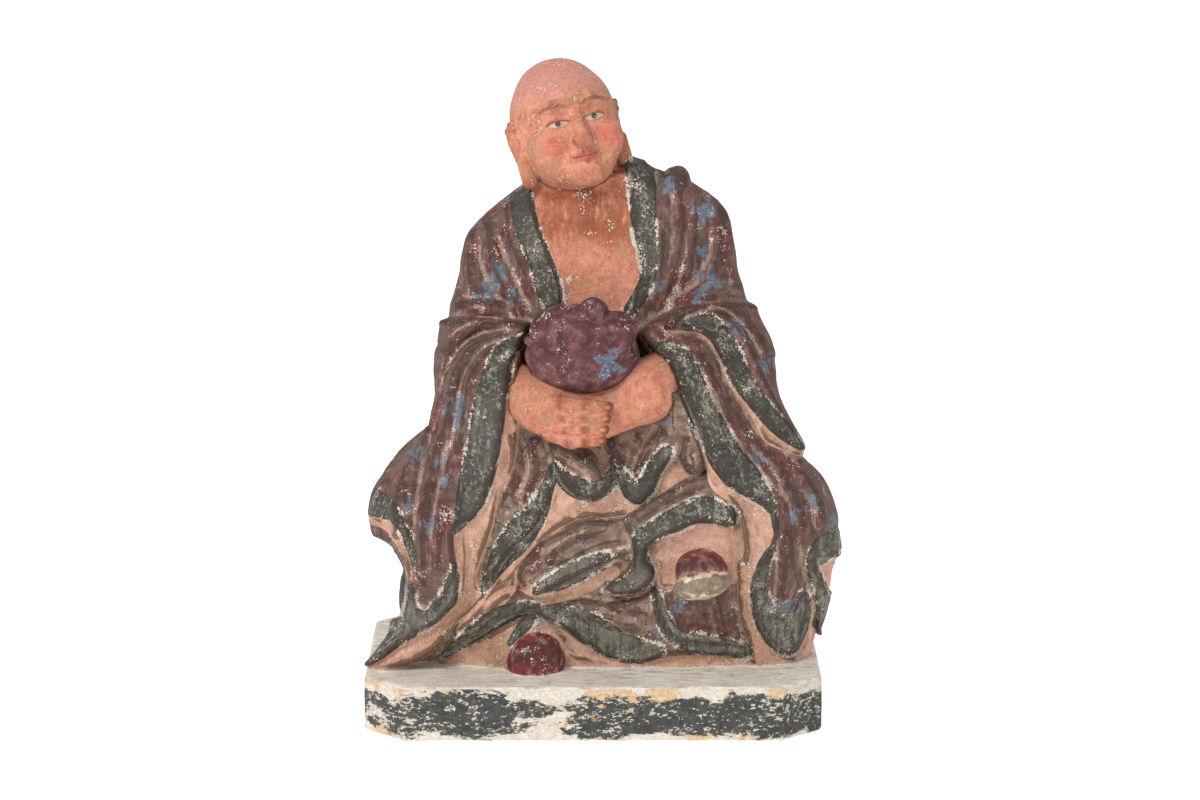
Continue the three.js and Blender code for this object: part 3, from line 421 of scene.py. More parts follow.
def window(run, felt):
    """The part of the map that a line is felt in, with its coordinates."""
    low = np.floor((run[:, :2].min(0) - felt - MAP_LOW) / MAP_STEP).astype(int)
    high = np.ceil((run[:, :2].max(0) + felt - MAP_LOW) / MAP_STEP).astype(int)
    size = ((MAP_HIGH - MAP_LOW) / MAP_STEP).astype(int)
    low, high = np.clip(low, 0, size), np.clip(high, 0, size)
    x, y = np.meshgrid(MAP_LOW[0] + MAP_STEP * np.arange(low[0], high[0]),
                       MAP_LOW[1] + MAP_STEP * np.arange(low[1], high[1]), indexing="ij")
    return (slice(low[0], high[0]), slice(low[1], high[1])), x, y


def carving_maps():
    """How far the carving stands out on the sight plane, and how far inside each cloth it is."""
    shape = tuple(((MAP_HIGH - MAP_LOW) / MAP_STEP).astype(int))
    height = np.zeros(shape)
    cloths = {name: np.full(shape, -FAR) for name in CLOTHS}

    def paint(at, cloth, inward):
        for name, field in cloths.items():
            if name == cloth:
                field[at] = np.maximum(field[at], inward)
            else:
                field[at] = np.minimum(field[at], -inward)

    for cloth, level, outline in PANELS:
        run = curve_points(outline, True)
        at, x, y = window(run, FAR)
        inward = nearest(run, x, y)[0] * np.where(inside(run, x, y), 1, -1)
        share = smoothstep(inward, -PANEL_EDGE, PANEL_EDGE)
        roll = 0.35 * np.exp(-((inward - 0.7) / 0.5) ** 2) * (share > 0)
        height[at] = height[at] * (1 - share) + level * share + roll * share
        paint(at, cloth, np.clip(inward, -FAR, FAR))
    for cloth, line in STRIPS:
        run = curve_points(line, False)
        at, x, y = window(run, FAR + 3)
        away, share, _ = nearest(run, x, y)
        inward = np.interp(share, np.arange(len(run)), run[:, 2]) + STRIP_SPREAD - away
        height[at] += STRIP_RISE[cloth] * smoothstep(inward, -STRIP_EDGE, STRIP_EDGE)
        paint(at, cloth, np.clip(inward, -FAR, FAR))
    for rise, width, line in FOLDS:
        run = curve_points(line, False)
        at, x, y = window(run, 5 * width)
        away, share, side = nearest(run, x, y)
        away = away / np.where(side * FOLD_LEAN > 0, FOLD_STEEP * width, FOLD_GENTLE * width)
        t = share / (len(run) - 1)
        taper = np.sqrt(np.clip(4 * t * (1 - t), 0, 1))
        rise *= FOLD_STRENGTH
        height[at] += rise * taper * np.exp(-away ** 1.6)
        height[at] -= 0.4 * rise * taper * np.exp(-((away - 1.8) / 0.7) ** 2)
    return height.astype(np.float32), {name: field.astype(np.float32) for name, field in cloths.items()}


CARVING, CLOTH_MAPS = carving_maps()


def sighted(p):
    """Where points of the figure show on the sight plane."""
    rise, lean = math.cos(EYE_RISE), math.sin(EYE_RISE)
    up = (p[:, 2] - EYE_AIM) * rise + p[:, 1] * lean
    far = EYE_DISTANCE + p[:, 1] * rise - (p[:, 2] - EYE_AIM) * lean
    foot = EYE_AIM * rise / (EYE_DISTANCE + EYE_AIM * lean)
    return p[:, 0] * EYE_DISTANCE / far, (up / far + foot) * EYE_DISTANCE


def read_map(field, p):
    across, up = sighted(p)
    u = np.clip((across - MAP_LOW[0]) / MAP_STEP, 0, field.shape[0] - 1.01)
    v = np.clip((up - MAP_LOW[1]) / MAP_STEP, 0, field.shape[1] - 1.01)
    i, j = u.astype(int), v.astype(int)
    s, t = (u - i).astype(np.float32), (v - j).astype(np.float32)
    return (field[i, j] * (1 - s) * (1 - t) + field[i + 1, j] * s * (1 - t)
            + field[i, j + 1] * (1 - s) * t + field[i + 1, j + 1] * s * t)


# Depths over which the front's carving fades out and the back's fades in
FRONT_FADE = (-6, 3)
BACK_FADE = (-4, 6)
SEAT_TOP = 15.0


def seat_line(angle):
    """Height at which the robe ends over the rock seat, round the sides and back."""
    a = np.radians(angle)
    return SEAT_TOP + 2.6 * np.sin(3 * a + 0.6) + 1.3 * np.sin(7 * a)


def turn_of(p):
    return np.degrees(np.arctan2(p[:, 0], -p[:, 1])) % 360


def back_carving(p):
    angle = turn_of(p)
    total = np.zeros(len(p), np.float32)
    for at, top, foot, rise, width in BACK_FOLDS:
        lean = at + (p[:, 2] - 35) * 0.12 * np.sign(at - 180)
        fade = smoothstep(p[:, 2], foot - 6, foot + 4) * (1 - smoothstep(p[:, 2], top - 10, top + 4))
        total += rise * fade * np.exp(-((angle - lean) / width) ** 2)
        fine = 1 - ((angle - lean - 0.6 * width) / (0.35 * width)) ** 2
        total += 0.35 * rise * fade * np.exp(np.minimum(fine, 1) - 1)
    return total


def rock(p):
    """How far the rock seat's rough face stands out below the robe at the sides and back."""
    below = smoothstep(seat_line(turn_of(p)) - p[:, 2], -0.25, 0.25)
    rough = 0.9 * np.abs(noise(p, (5, 5, 4))) + 0.5 * np.abs(noise(p + 7, (2.2, 2.2, 2)))
    return below, rough - 1.2


def robe(p):
    form = melt(melt(mass(p), limbs(p, ARMS, 2), 3), limbs(p, KNEES, 3), 4)
    draped = melt(melt(form, limbs(p, SLEEVE_FALL, 3), 3), limb(p, *HEM_TAIL), 2.5)
    draped = melt(draped, ellipsoid(p, *SHOULDER_LUMP), 1.5)
    draped = carve(draped, ellipsoid(p, *COLLAR_GAP), 0.8)
    front = 1 - smoothstep(p[:, 1], *FRONT_FADE)
    back = smoothstep(p[:, 1], *BACK_FADE)
    below, rough = rock(p)
    behind = back_carving(p) * (1 - below) + rough * below
    hand = 0.16 * noise(p, 3.1) + 0.08 * noise(p + 3, 1.3)
    return draped - front * read_map(CARVING, p) - back * behind - hand


# The head, in its own frame: its face looks along -y before the head is turned
HEAD_CENTRE = Vector((-4.4, -2.2, 89.0))
HEAD_TURN = math.radians(13)
HEAD_RISE = math.radians(-14)
HEAD_LEAN = math.radians(-11)
HEAD_MATRIX = (Matrix.Rotation(HEAD_TURN, 3, "Z") @ Matrix.Rotation(HEAD_RISE, 3, "X")
               @ Matrix.Rotation(HEAD_LEAN, 3, "Y"))
# The rim of an ear, from its root over the top and down the back to the lobe
EAR_RIM = [
    ((8.1, -1.0, -1.2), (8.7, -0.9, 0.9), 0.35, 0.45),
    ((8.7, -0.9, 0.9), (9.0, 0.4, 2.2), 0.45, 0.5),
    ((9.0, 0.4, 2.2), (9.2, 2.1, 1.4), 0.5, 0.55),
    ((9.2, 2.1, 1.4), (9.1, 2.4, -0.8), 0.55, 0.5),
    ((9.1, 2.4, -0.8), (8.8, 1.2, -3.6), 0.5, 0.6),
]
EYE_APART = 3.1
EYE_LINE = 0.2
NOSE_FOOT = -3.9
MOUTH_LINE = -6.0


def to_head(p):
    return (p - np.float32(HEAD_CENTRE)) @ np.array(HEAD_MATRIX, np.float32)


def head(p):
    q = to_head(p)
    side = q.copy()
    side[:, 0] = np.abs(side[:, 0])
    d = ellipsoid(q, (0, 0.8, 2.2), (8.6, 9.2, 8.4))
    d = melt(d, ellipsoid(q, (0, 1.5, 7.4), (5, 5.4, 3.6)), 2.5)
    d = melt(d, ellipsoid(q, (0, -1.5, -4), (7.4, 7.0, 6.9)), 2.5)
    d = melt(d, ellipsoid(side, (4.2, -4.8, -3.4), (3.6, 3.5, 3.6)), 1.6)
    d = melt(d, ellipsoid(q, (0, -6.6, -8.7), (2.7, 2.3, 2.0)), 1.6)
    d = carve(d, ellipsoid(side, (EYE_APART, -9.1, EYE_LINE + 0.2), (2.3, 1.7, 1.45)), 1.4)
    brow = melt(limb(side, (1.0, -8.4, 2.5), (3.4, -8.0, 3.3), 0.5, 0.55),
                limb(side, (3.4, -8.0, 3.3), (6.0, -6.0, 2.4), 0.55, 0.4), 0.4)
    d = melt(d, brow, 1.3)
    lids = ellipsoid(side, (EYE_APART, -6.2, EYE_LINE), (2.15, 1.95, 1.5))
    slit = ellipsoid(side, (EYE_APART, -8.1, EYE_LINE - 0.15), (1.7, 1.6, 0.38))
    lids = carve(lids, slit, 0.15)
    crease = limb(side, (1.4, -8.2, EYE_LINE + 1.0), (5.0, -7.2, EYE_LINE + 0.9), 0.12, 0.12)
    d = melt(d, lids, 0.35)
    d = carve(d, crease, 0.4)
    d = melt(d, ellipsoid(side, (EYE_APART, -6.2, EYE_LINE - 0.1), (1.8, 1.68, 1.3)), 0.05)
    nose = limb(q, (0, -8.0, 1.8), (0, -9.7, NOSE_FOOT + 1.2), 0.75, 1.2)
    nose = melt(nose, ellipsoid(side, (1.3, -8.7, NOSE_FOOT + 0.6), (0.95, 1.1, 0.85)), 0.5)
    nose = carve(nose, ellipsoid(side, (0.7, -9.3, NOSE_FOOT - 0.35), (0.38, 0.5, 0.4)), 0.2)
    d = melt(d, nose, 0.8)
    groove = limb(q, (0, -9.2, NOSE_FOOT - 0.5), (0, -9.1, MOUTH_LINE + 1.0), 0.2, 0.25)
    d = carve(d, groove, 0.5)
    fold = limb(side, (2.2, -8.7, NOSE_FOOT + 0.5), (3.7, -8.0, MOUTH_LINE - 0.3), 0.3, 0.3)
    d = carve(d, fold, 1.6)
    upper = limb(side, (0.35, -8.7, MOUTH_LINE + 0.6), (2.3, -7.7, MOUTH_LINE + 0.15), 0.55, 0.22)
    lower = limb(side, (0, -8.5, MOUTH_LINE - 0.6), (1.9, -7.7, MOUTH_LINE - 0.25), 0.68, 0.3)
    d = melt(melt(d, upper, 0.45), lower, 0.45)
    mouth = limb(side, (0, -9.35, MOUTH_LINE + 0.05), (2.5, -8.0, MOUTH_LINE + 0.1), 0.1, 0.08)
    d = carve(d, mouth, 0.25)
    ear = ellipsoid(side, (8.0, 0.7, -1.0), (1.0, 2.1, 3.1))
    ear = carve(ear, ellipsoid(side, (9.1, 0.3, -0.8), (0.8, 1.3, 2.0)), 0.4)
    ear = melt(ear, limbs(side, EAR_RIM, 0.3), 0.5)
    ear = melt(ear, limb(side, (8.6, 0.0, -3.8), (8.2, -0.5, -7.4), 0.95, 1.35), 0.8)
    return melt(d, ear, 0.6)


NECK = ((-2, -0.5, 70), (-4, -0.5, 84), 7.6, 7)
NECK_RINGS = 4.2


def neck(p):
    d = limb(p, *NECK)
    ring = 0.16 * np.cos((p[:, 2] + 0.3 * p[:, 1] - 0.012 * p[:, 0] ** 2) * 2 * math.pi / NECK_RINGS)
    return d - ring * smoothstep(p[:, 2], 70, 73) * (1 - smoothstep(p[:, 2], 80, 83))


HANDS = [
    ((-15.5, -12.5, 49), (-8, -19, 45.6), 4.1, 4.2),
    ((-8, -19, 45.6), (-2.5, -20, 44), 4.2, 3.0),
    ((15.5, -11.5, 52), (8.4, -18, 47.9), 4.2, 4.7),
    ((8.4, -18, 47.6), (1.5, -19, 43.8), 4.7, 3.6),
    ((-5, -19.8, 47), (3.5, -19.8, 46.8), 1.8, 1.7),
]
FINGER_COUNT = 4
FINGER_DROP = np.array([0.45, 0.15, -2.1])
FINGER_KNUCKLE = np.array([-5, -23.7, 47])
FINGER_REACH = np.array([7.4, -1.2, -0.4])


def fingers(p):
    whole = None
    for i in range(FINGER_COUNT):
        start = FINGER_KNUCKLE + FINGER_DROP * i
        end = start + FINGER_REACH + np.array([-0.8 * i, 0, 0.25 * i])
        middle = (start + end) / 2 + np.array([0, -0.35, 0.12])
        one = melt(limb(p, start - np.array([3.6, -2.2, -0.4]), start, 1.0, 1.1),
                   melt(limb(p, start, middle, 1.1, 1.04), limb(p, middle, end, 1.04, 0.92), 0.6), 1.2)
        one = carve(one, ellipsoid(p, end + np.array([0.1, -0.95, 0.1]), (0.75, 0.22, 0.5)), 0.1)
        whole = one if whole is None else melt(whole, one, 0.1)
    return whole


def hands(p):
    return melt(limbs(p, HANDS, 2), fingers(p), 0.35)


BUNDLE_CENTRE = np.float32((-1.7, -17.5, 55))
# Lumps of gathered cloth on top, and a fold that runs round the front from the right
BUNDLE_LUMPS = [
    ((1.6, -1.4, 6.0), (2.5, 2.6, 2.4)),
    ((-3.2, -1.8, 4.6), (3.6, 3.2, 2.5)),
    ((5.6, -1.0, 2.6), (3.0, 3.6, 3.4)),
    ((-0.6, -4.6, 3.0), (3.2, 2.2, 2.2)),
]
BUNDLE_FOLDS = [
    ((7.6, -2.8, 3.4), (5.2, -6.3, -0.4), 1.0, 1.1),
    ((5.2, -6.3, -0.4), (0.2, -7.8, -1.4), 1.1, 1.1),
    ((0.2, -7.8, -1.4), (-5.4, -6.3, -0.8), 1.1, 1.0),
    ((-5.4, -6.3, -0.8), (-8.8, -2.8, 1.6), 1.0, 0.7),
]


def bundle(p):
    q = p - BUNDLE_CENTRE
    d = ellipsoid(q, (0, 0, -1.6), (9.3, 7.8, 6.1))
    d = melt(d, ellipsoid(q, (-0.8, 0.2, 2.4), (7.6, 6.2, 4.4)), 1.2)
    for place, radii in BUNDLE_LUMPS:
        d = melt(d, ellipsoid(q, place, radii), 0.7)
    d = melt(d, limbs(q, BUNDLE_FOLDS, 0.4), 0.8)
    knot = q - np.float32(BUNDLE_LUMPS[0][0])
    out = np.hypot(knot[:, 0], knot[:, 1] * 0.8)
    turn = np.arctan2(knot[:, 0], -knot[:, 1])
    pleat = np.abs(np.sin(2.5 * turn + 0.32 * out + 1.5 * noise(p, 6))) - 0.6
    pleat = pleat * smoothstep(out, 1.2, 3.5) * (1 - smoothstep(-knot[:, 2], 3, 7))
    return d - 0.6 * pleat - 0.12 * noise(p, 1.8)


# The shoe on the plinth, the raised shoe with its cap and, tilted, its sole
SHOE = ((-9.6, -13, 1.4), (4.9, 5.4, 5.2))
RAISED_SHOE = ((17.9, -12, 17), (17.8, -16.5, 17.6), 3.6, 3.6)
SHOE_CAP = ((17.7, -18.2, 17.8), (4.3, 4.2, 3.2))
SOLE = ((17.9, -19.7, 15.9), (4.9, 4.0, 2.4))
SOLE_TILT = np.array(Euler((-0.3, -0.22, 0)).to_matrix(), np.float32)


def shoes(p):
    d = melt(ellipsoid(p, *SHOE), melt(limb(p, *RAISED_SHOE), ellipsoid(p, *SHOE_CAP), 1), 0.3)
    return d - 0.06 * noise(p, 1.2)


def sole(p):
    q = (p - np.float32(SOLE[0])) @ SOLE_TILT
    return ellipsoid(q, (0, 0, 0), SOLE[1]) - 0.12 * noise(p, 0.9)


# The plinth, with cut corners, edges worn round and chips out of them
PLINTH_HALF = np.array([PLINTH_LENGTH, PLINTH_DEPTH]) / 2 / PART
PLINTH_FOOT = -PLINTH_HEIGHT / PART
PLINTH_CUT = PLINTH_CORNER / PART
PLINTH_ROUND = 0.7
CHIP_COUNT = 46


def chips():
    """Chips along the plinth's edges: (place, radii)."""
    rng = np.random.default_rng(CLAY_SEED + 1)
    rows = []
    for _ in range(CHIP_COUNT):
        along = rng.uniform(-1, 1)
        front = rng.random() < 0.7
        height = rng.choice([0.15, PLINTH_FOOT - 0.1], p=[0.45, 0.55])
        size = rng.uniform(0.35, 0.95)
        if front:
            x, y = along * (PLINTH_HALF[0] - PLINTH_CUT), -PLINTH_HALF[1] - 0.1
            radii = (size * rng.uniform(1.2, 3.2), size * 0.7, size)
        else:
            x, y = rng.choice([-1, 1]) * (PLINTH_HALF[0] + 0.1), along * (PLINTH_HALF[1] - PLINTH_CUT)
            radii = (size * 0.7, size * rng.uniform(1.2, 3.2), size)
        rows.append(((x, y, height), radii))
    return rows


CHIPS = chips()


def plinth(p):
    x, y = np.abs(p[:, 0]), np.abs(p[:, 1])
    inset = PLINTH_ROUND
    walls = np.stack([
        x - PLINTH_HALF[0] + inset,
        y - PLINTH_HALF[1] + inset,
        (x + y - PLINTH_HALF.sum() + PLINTH_CUT) / math.sqrt(2) + inset,
    ])
    flat = np.maximum.reduce(walls)
    tall = np.maximum(p[:, 2] + inset, PLINTH_FOOT + inset - p[:, 2])
    d = np.minimum(np.maximum(flat, tall), 0) + np.hypot(np.maximum(flat, 0), np.maximum(tall, 0)) - inset
    d = d - 0.05 * noise(p, (4, 4, 1.6)) * smoothstep(p[:, 2], PLINTH_FOOT + 0.4, PLINTH_FOOT + 1.4)
    near = d < 2.5
    if near.any():
        q = p[near]
        part = d[near]
        for place, radii in CHIPS:
            close = np.abs(q - np.float32(place)).max(1) < 5
            if close.any():
                part[close] = carve(part[close], ellipsoid(q[close], place, radii), 0.15)
        d[near] = part
    # The underside stays flat, as the solid's does
    return np.maximum(d, PLINTH_FOOT - p[:, 2])


def apart(p, low, high, field):
    """The field where points lie in a box, and a large distance elsewhere."""
    d = np.full(len(p), 9.0, np.float32)
    near = np.all((p > np.float32(low)) & (p < np.float32(high)), axis=1)
    if near.any():
        d[near] = field(p[near])
    return d


def pieces_at(p):
    """The distance to each part of the clay."""
    return {
        "robe": robe(p),
        "head": apart(p, (-17, -17, 74), (8, 13, 104), head),
        "neck": apart(p, (-14, -12, 64), (9, 10, 90), neck),
        "hands": apart(p, (-20, -28, 33), (20, -6, 58), hands),
        "bundle": apart(p, (-14, -29, 44), (11, -6, 66), bundle),
        "shoes": apart(p, (-18, -26, -3), (26, -4, 25), shoes),
        "sole": apart(p, (10, -27, 9), (27, -12, 21), sole),
        "plinth": plinth(p),
    }


def joined(d):
    whole = melt(d["robe"], d["neck"], 0.8)
    whole = melt(whole, d["head"], 0.8)
    whole = melt(whole, melt(d["hands"], d["bundle"], 0.15), 0.3)
    whole = melt(whole, melt(d["shoes"], d["sole"], 0.1), 0.3)
    return melt(whole, d["plinth"], 0.35)


def parted(d, chosen):
    """Half of how much nearer the chosen forms are than the rest: below nothing where they are."""
    mine = np.min([d[name] for name in chosen], axis=0)
    rest = np.min([d[name] for name in d if name not in chosen], axis=0)
    return (mine - rest) / 2


# The clay is meshed in three pieces that meet in its creases, the small forms more finely:
# name, forms, lowest corner, highest corner, grid step, most faces
PIECES = [
    ("painted_figure", ("robe", "neck", "shoes", "sole", "plinth"),
     (-41, -27.5, -10.5), (44, 27.5, 91), 0.27, 192000),
    ("painted_head", ("head",), (-17.5, -17, 72), (10, 13, 103), 0.14, 120000),
    ("painted_grip", ("hands", "bundle"), (-20, -29, 34), (20, -5, 67), 0.17, 110000),
]
# Grid cells on a side of a block, and the farthest distance that the grid tells
BLOCK = 5
GRID_CLIP = 1.5


def each_run(job, p, at_once=150000):
    """The job's values for many points, worked out in runs side by side."""
    with ThreadPoolExecutor() as pool:
        return np.concatenate(list(pool.map(job, [p[i:i + at_once] for i in range(0, len(p), at_once)])))


def clay_grid(chosen, low, high, step):
    """A piece's distances on a fine grid, worked out only near its surface."""
    def field(p):
        d = pieces_at(p)
        return np.maximum(joined(d), parted(d, chosen) - 0.02)

    block = step * BLOCK
    counts = np.ceil((np.array(high) - low) / block).astype(int)
    ijk = np.stack(np.meshgrid(*(np.arange(n) for n in counts), indexing="ij"), -1).reshape(-1, 3)
    rough = each_run(field, (low + (ijk + 0.5) * block).astype(np.float32))
    reach = block * 0.5 * math.sqrt(3) * 1.3 + 1.4
    grid = np.where(rough > 0, GRID_CLIP, -GRID_CLIP).astype(np.float32).reshape(counts)
    grid = grid.repeat(BLOCK, 0).repeat(BLOCK, 1).repeat(BLOCK, 2)
    offsets = np.stack(np.meshgrid(*(np.arange(BLOCK),) * 3, indexing="ij"), -1).reshape(-1, 3)
    cells = (ijk[np.abs(rough) < reach][:, None] * BLOCK + offsets).reshape(-1, 3)
    values = each_run(lambda run: field((low + (run + 0.5) * step).astype(np.float32)), cells)
    grid[cells[:, 0], cells[:, 1], cells[:, 2]] = np.clip(values, -GRID_CLIP, GRID_CLIP)
    return grid


def clay_mesh(name, chosen, low, high, step):
    grid = openvdb.FloatGrid(GRID_CLIP)
    grid.copyFromArray(clay_grid(chosen, np.array(low), np.array(high), step))
    points, quads = grid.convertToQuads()
    points = np.array(low) + (points + 0.5) * step
    mesh = bpy.data.meshes.new(name)
    mesh.vertices.add(len(points))
    mesh.vertices.foreach_set("co", points.astype(np.float32).ravel())
    mesh.loops.add(4 * len(quads))
    mesh.loops.foreach_set("vertex_index", quads[:, ::-1].astype(np.int32).ravel())
    mesh.polygons.add(len(quads))
    mesh.polygons.foreach_set("loop_start", np.arange(0, 4 * len(quads), 4, dtype=np.int32))
    mesh.update(calc_edges=True)
    mesh.validate()
    return mesh


def coordinates(mesh):
    points = np.empty(3 * len(mesh.vertices), np.float32)
    mesh.vertices.foreach_get("co", points)
    return points.reshape(-1, 3)


def directions(mesh):
    normals = np.empty(3 * len(mesh.vertices), np.float32)
    mesh.vertices.foreach_get("normal", normals)
    return normals.reshape(-1, 3)


def thin_out(figure, limit):
    """Collapses edges down to the limit of faces, least of all on the front."""
    mesh = figure.data
    p = coordinates(mesh)
    front = smoothstep(-p[:, 1], -4, 6) * (p[:, 2] > 0.5)
    keep = 0.35 + 0.45 * front
    keep[(p[:, 2] < 0.4) & (p[:, 1] > -24)] = 0.3
    group = figure.vertex_groups.new(name="keep")
    for level in range(1, 11):
        chosen = np.nonzero(np.round(keep * 10) == level)[0]
        if len(chosen):
            group.add(chosen.tolist(), level / 10, "REPLACE")
    thin = figure.modifiers.new("thin", "DECIMATE")
    thin.ratio = min(1, limit / (2 * len(mesh.polygons)))
    thin.vertex_group = group.name
    thin.invert_vertex_group = True
    thin.vertex_group_factor = 1.2
    thin.use_collapse_triangulate = True
    figure.data = bpy.data.meshes.new_from_object(
        figure.evaluated_get(bpy.context.evaluated_depsgraph_get()))
    figure.modifiers.remove(thin)
    figure.vertex_groups.clear()
    bpy.data.meshes.remove(mesh)


def hollowness(mesh, rounds, full):
    """From -1 on a ridge to 1 in a hollow, by how far smoothing moves each point along its normal."""
    edges = np.empty(2 * len(mesh.edges), np.int32)
    mesh.edges.foreach_get("vertices", edges)
    a, b = edges.reshape(-1, 2).T
    count = len(mesh.vertices)
    joins = np.maximum(np.bincount(a, minlength=count) + np.bincount(b, minlength=count), 1)
    start = coordinates(mesh)
    p = start.astype(float)
    for _ in range(rounds):
        p = np.stack([(q + (np.bincount(a, q[b], count) + np.bincount(b, q[a], count)) / joins) / 2
                      for q in p.T], axis=1)
    return np.clip(((p - start) * directions(mesh)).sum(1) / full, -1, 1)


# Blue flowers painted on the robe: (across, up, size, turn) on the sight plane
FLOWERS = [
    (-22.4, 39.4, 3.0, 0.2), (-25.4, 31.4, 2.0, 0.9), (-27, 20.5, 1.8, 0.1), (-24.6, 27.5, 1.5, 0.5),
    (-19.8, 71, 2.0, 0.4), (-16, 63, 2.2, 0.8), (-17.5, 59.6, 2.4, 1.2), (-13.4, 58.6, 1.8, 0.3),
    (12.6, 77.4, 1.9, 0.5), (18.6, 72.6, 2.2, 0.2), (18, 66, 1.6, 0.9), (19.4, 61.4, 2.6, 0.4),
    (24, 53.4, 2.4, 0.7), (29.4, 47.4, 2.2, 0.1), (10.6, 60.4, 1.6, 0.6), (27.6, 31.6, 1.7, 0.3),
    (36.4, 24.6, 1.7, 0.8), (33.4, 22, 1.5, 0.2), (32.4, 6.4, 1.8, 0.5), (40, 21, 1.3, 0.1),
    (-29.6, 32, 1.6, 0.6), (-31, 24, 1.5, 0.3), (14, 6.4, 1.4, 0.6), (17.6, 59, 1.6, 0.2),
]
# The back's flowers: (degrees from the front, height, size)
BACK_FLOWERS = [
    (150, 62, 2.4), (188, 55, 2.6), (222, 62, 2.2), (168, 40, 2.6), (205, 33, 2.4), (135, 33, 2.4),
    (235, 38, 2.2), (250, 55, 2.2), (112, 50, 2.3), (102, 30, 2.2), (262, 30, 2.3), (186, 72, 2.0),
]
BUNDLE_STAR = (2.6, 47.4, 3.0, 0.4)
PETALS = 4


def star(x, y, size, turn):
    """How far inside a flower of pointed petals a place is."""
    radius = np.hypot(x, y)
    swing = np.cos(PETALS * (np.arctan2(y, x) + turn))
    return size * (0.66 + 0.3 * swing) - radius


def flowers(p):
    across, up = sighted(p)
    best = np.full(len(p), -FAR)
    for x, y, size, turn in FLOWERS:
        best = np.maximum(best, star(across - x, up - y, size, turn))
    best = np.where(p[:, 1] < 2, best, -FAR)
    angle = turn_of(p)
    for at, height, size in BACK_FLOWERS:
        away = np.radians((angle - at + 180) % 360 - 180) * np.hypot(p[:, 0], p[:, 1])
        here = star(away, p[:, 2] - height, size, at)
        best = np.maximum(best, np.where((p[:, 1] > -1) & (np.abs(away) < 6), here, -FAR))
    return best


def measures(p):
    """What the paint goes by, at each point of a mesh."""
    d = pieces_at(p)

    def owned(*chosen):
        return np.clip(-parted(d, chosen), -FAR, FAR)

    facing = np.clip((4 - p[:, 1]) * 0.6, -FAR, FAR)
    on_robe = owned("robe")
    across, up = sighted(p)
    star_across, star_up, star_size, star_turn = BUNDLE_STAR
    on_bundle = star(across - star_across, up - star_up, star_size, star_turn)
    cloth = {name: np.minimum(read_map(CLOTH_MAPS[name], p), facing) for name in CLOTHS}
    flesh = np.maximum(owned("head", "neck", "hands"), np.minimum(cloth["skin"], on_robe + 0.5))
    below, _ = rock(p)
    behind = smoothstep(p[:, 1], 1, 4)
    stone = np.maximum((below * behind - 0.5) * 4, cloth["stone"])
    return {
        "flesh": flesh,
        "lining": np.minimum(cloth["lining"], on_robe),
        "brown": np.minimum(cloth["brown"], on_robe),
        "hem": np.minimum(cloth["hem"], on_robe),
        "rock": np.minimum(stone, on_robe + 0.5),
        "bundle": owned("bundle"),
        "shoes": owned("shoes"),
        "sole": owned("sole"),
        "plinth": owned("plinth"),
        "flower": np.clip(flowers(p), -FAR, FAR),
        "bundle_star": np.clip(on_bundle, -FAR, FAR),
        "flesh_head": owned("head"),
    }


def add_measures(mesh):
    p = coordinates(mesh)
    layers = measures(p)
    layers["fine_hollow"] = hollowness(mesh, rounds=4, full=0.09)
    layers["broad_hollow"] = hollowness(mesh, rounds=40, full=0.5)
    for name, values in layers.items():
        layer = mesh.attributes.new(name, "FLOAT", "POINT")
        layer.data.foreach_set("value", values.astype(np.float32))
    layer = mesh.attributes.new("face_place", "FLOAT_VECTOR", "POINT")
    layer.data.foreach_set("vector", to_head(p).astype(np.float32).ravel())


def to_metres(mesh):
    p = coordinates(mesh) * PART
    p[:, 2] += PLINTH_HEIGHT
    mesh.vertices.foreach_set("co", p.astype(np.float32).ravel())
    mesh.update()


# Materials
def srgb(r, g, b):
    def linear(c):
        return c / 255 / 12.92 if c <= 10 else ((c / 255 + 0.055) / 1.055) ** 2.4

    return linear(r), linear(g), linear(b), 1


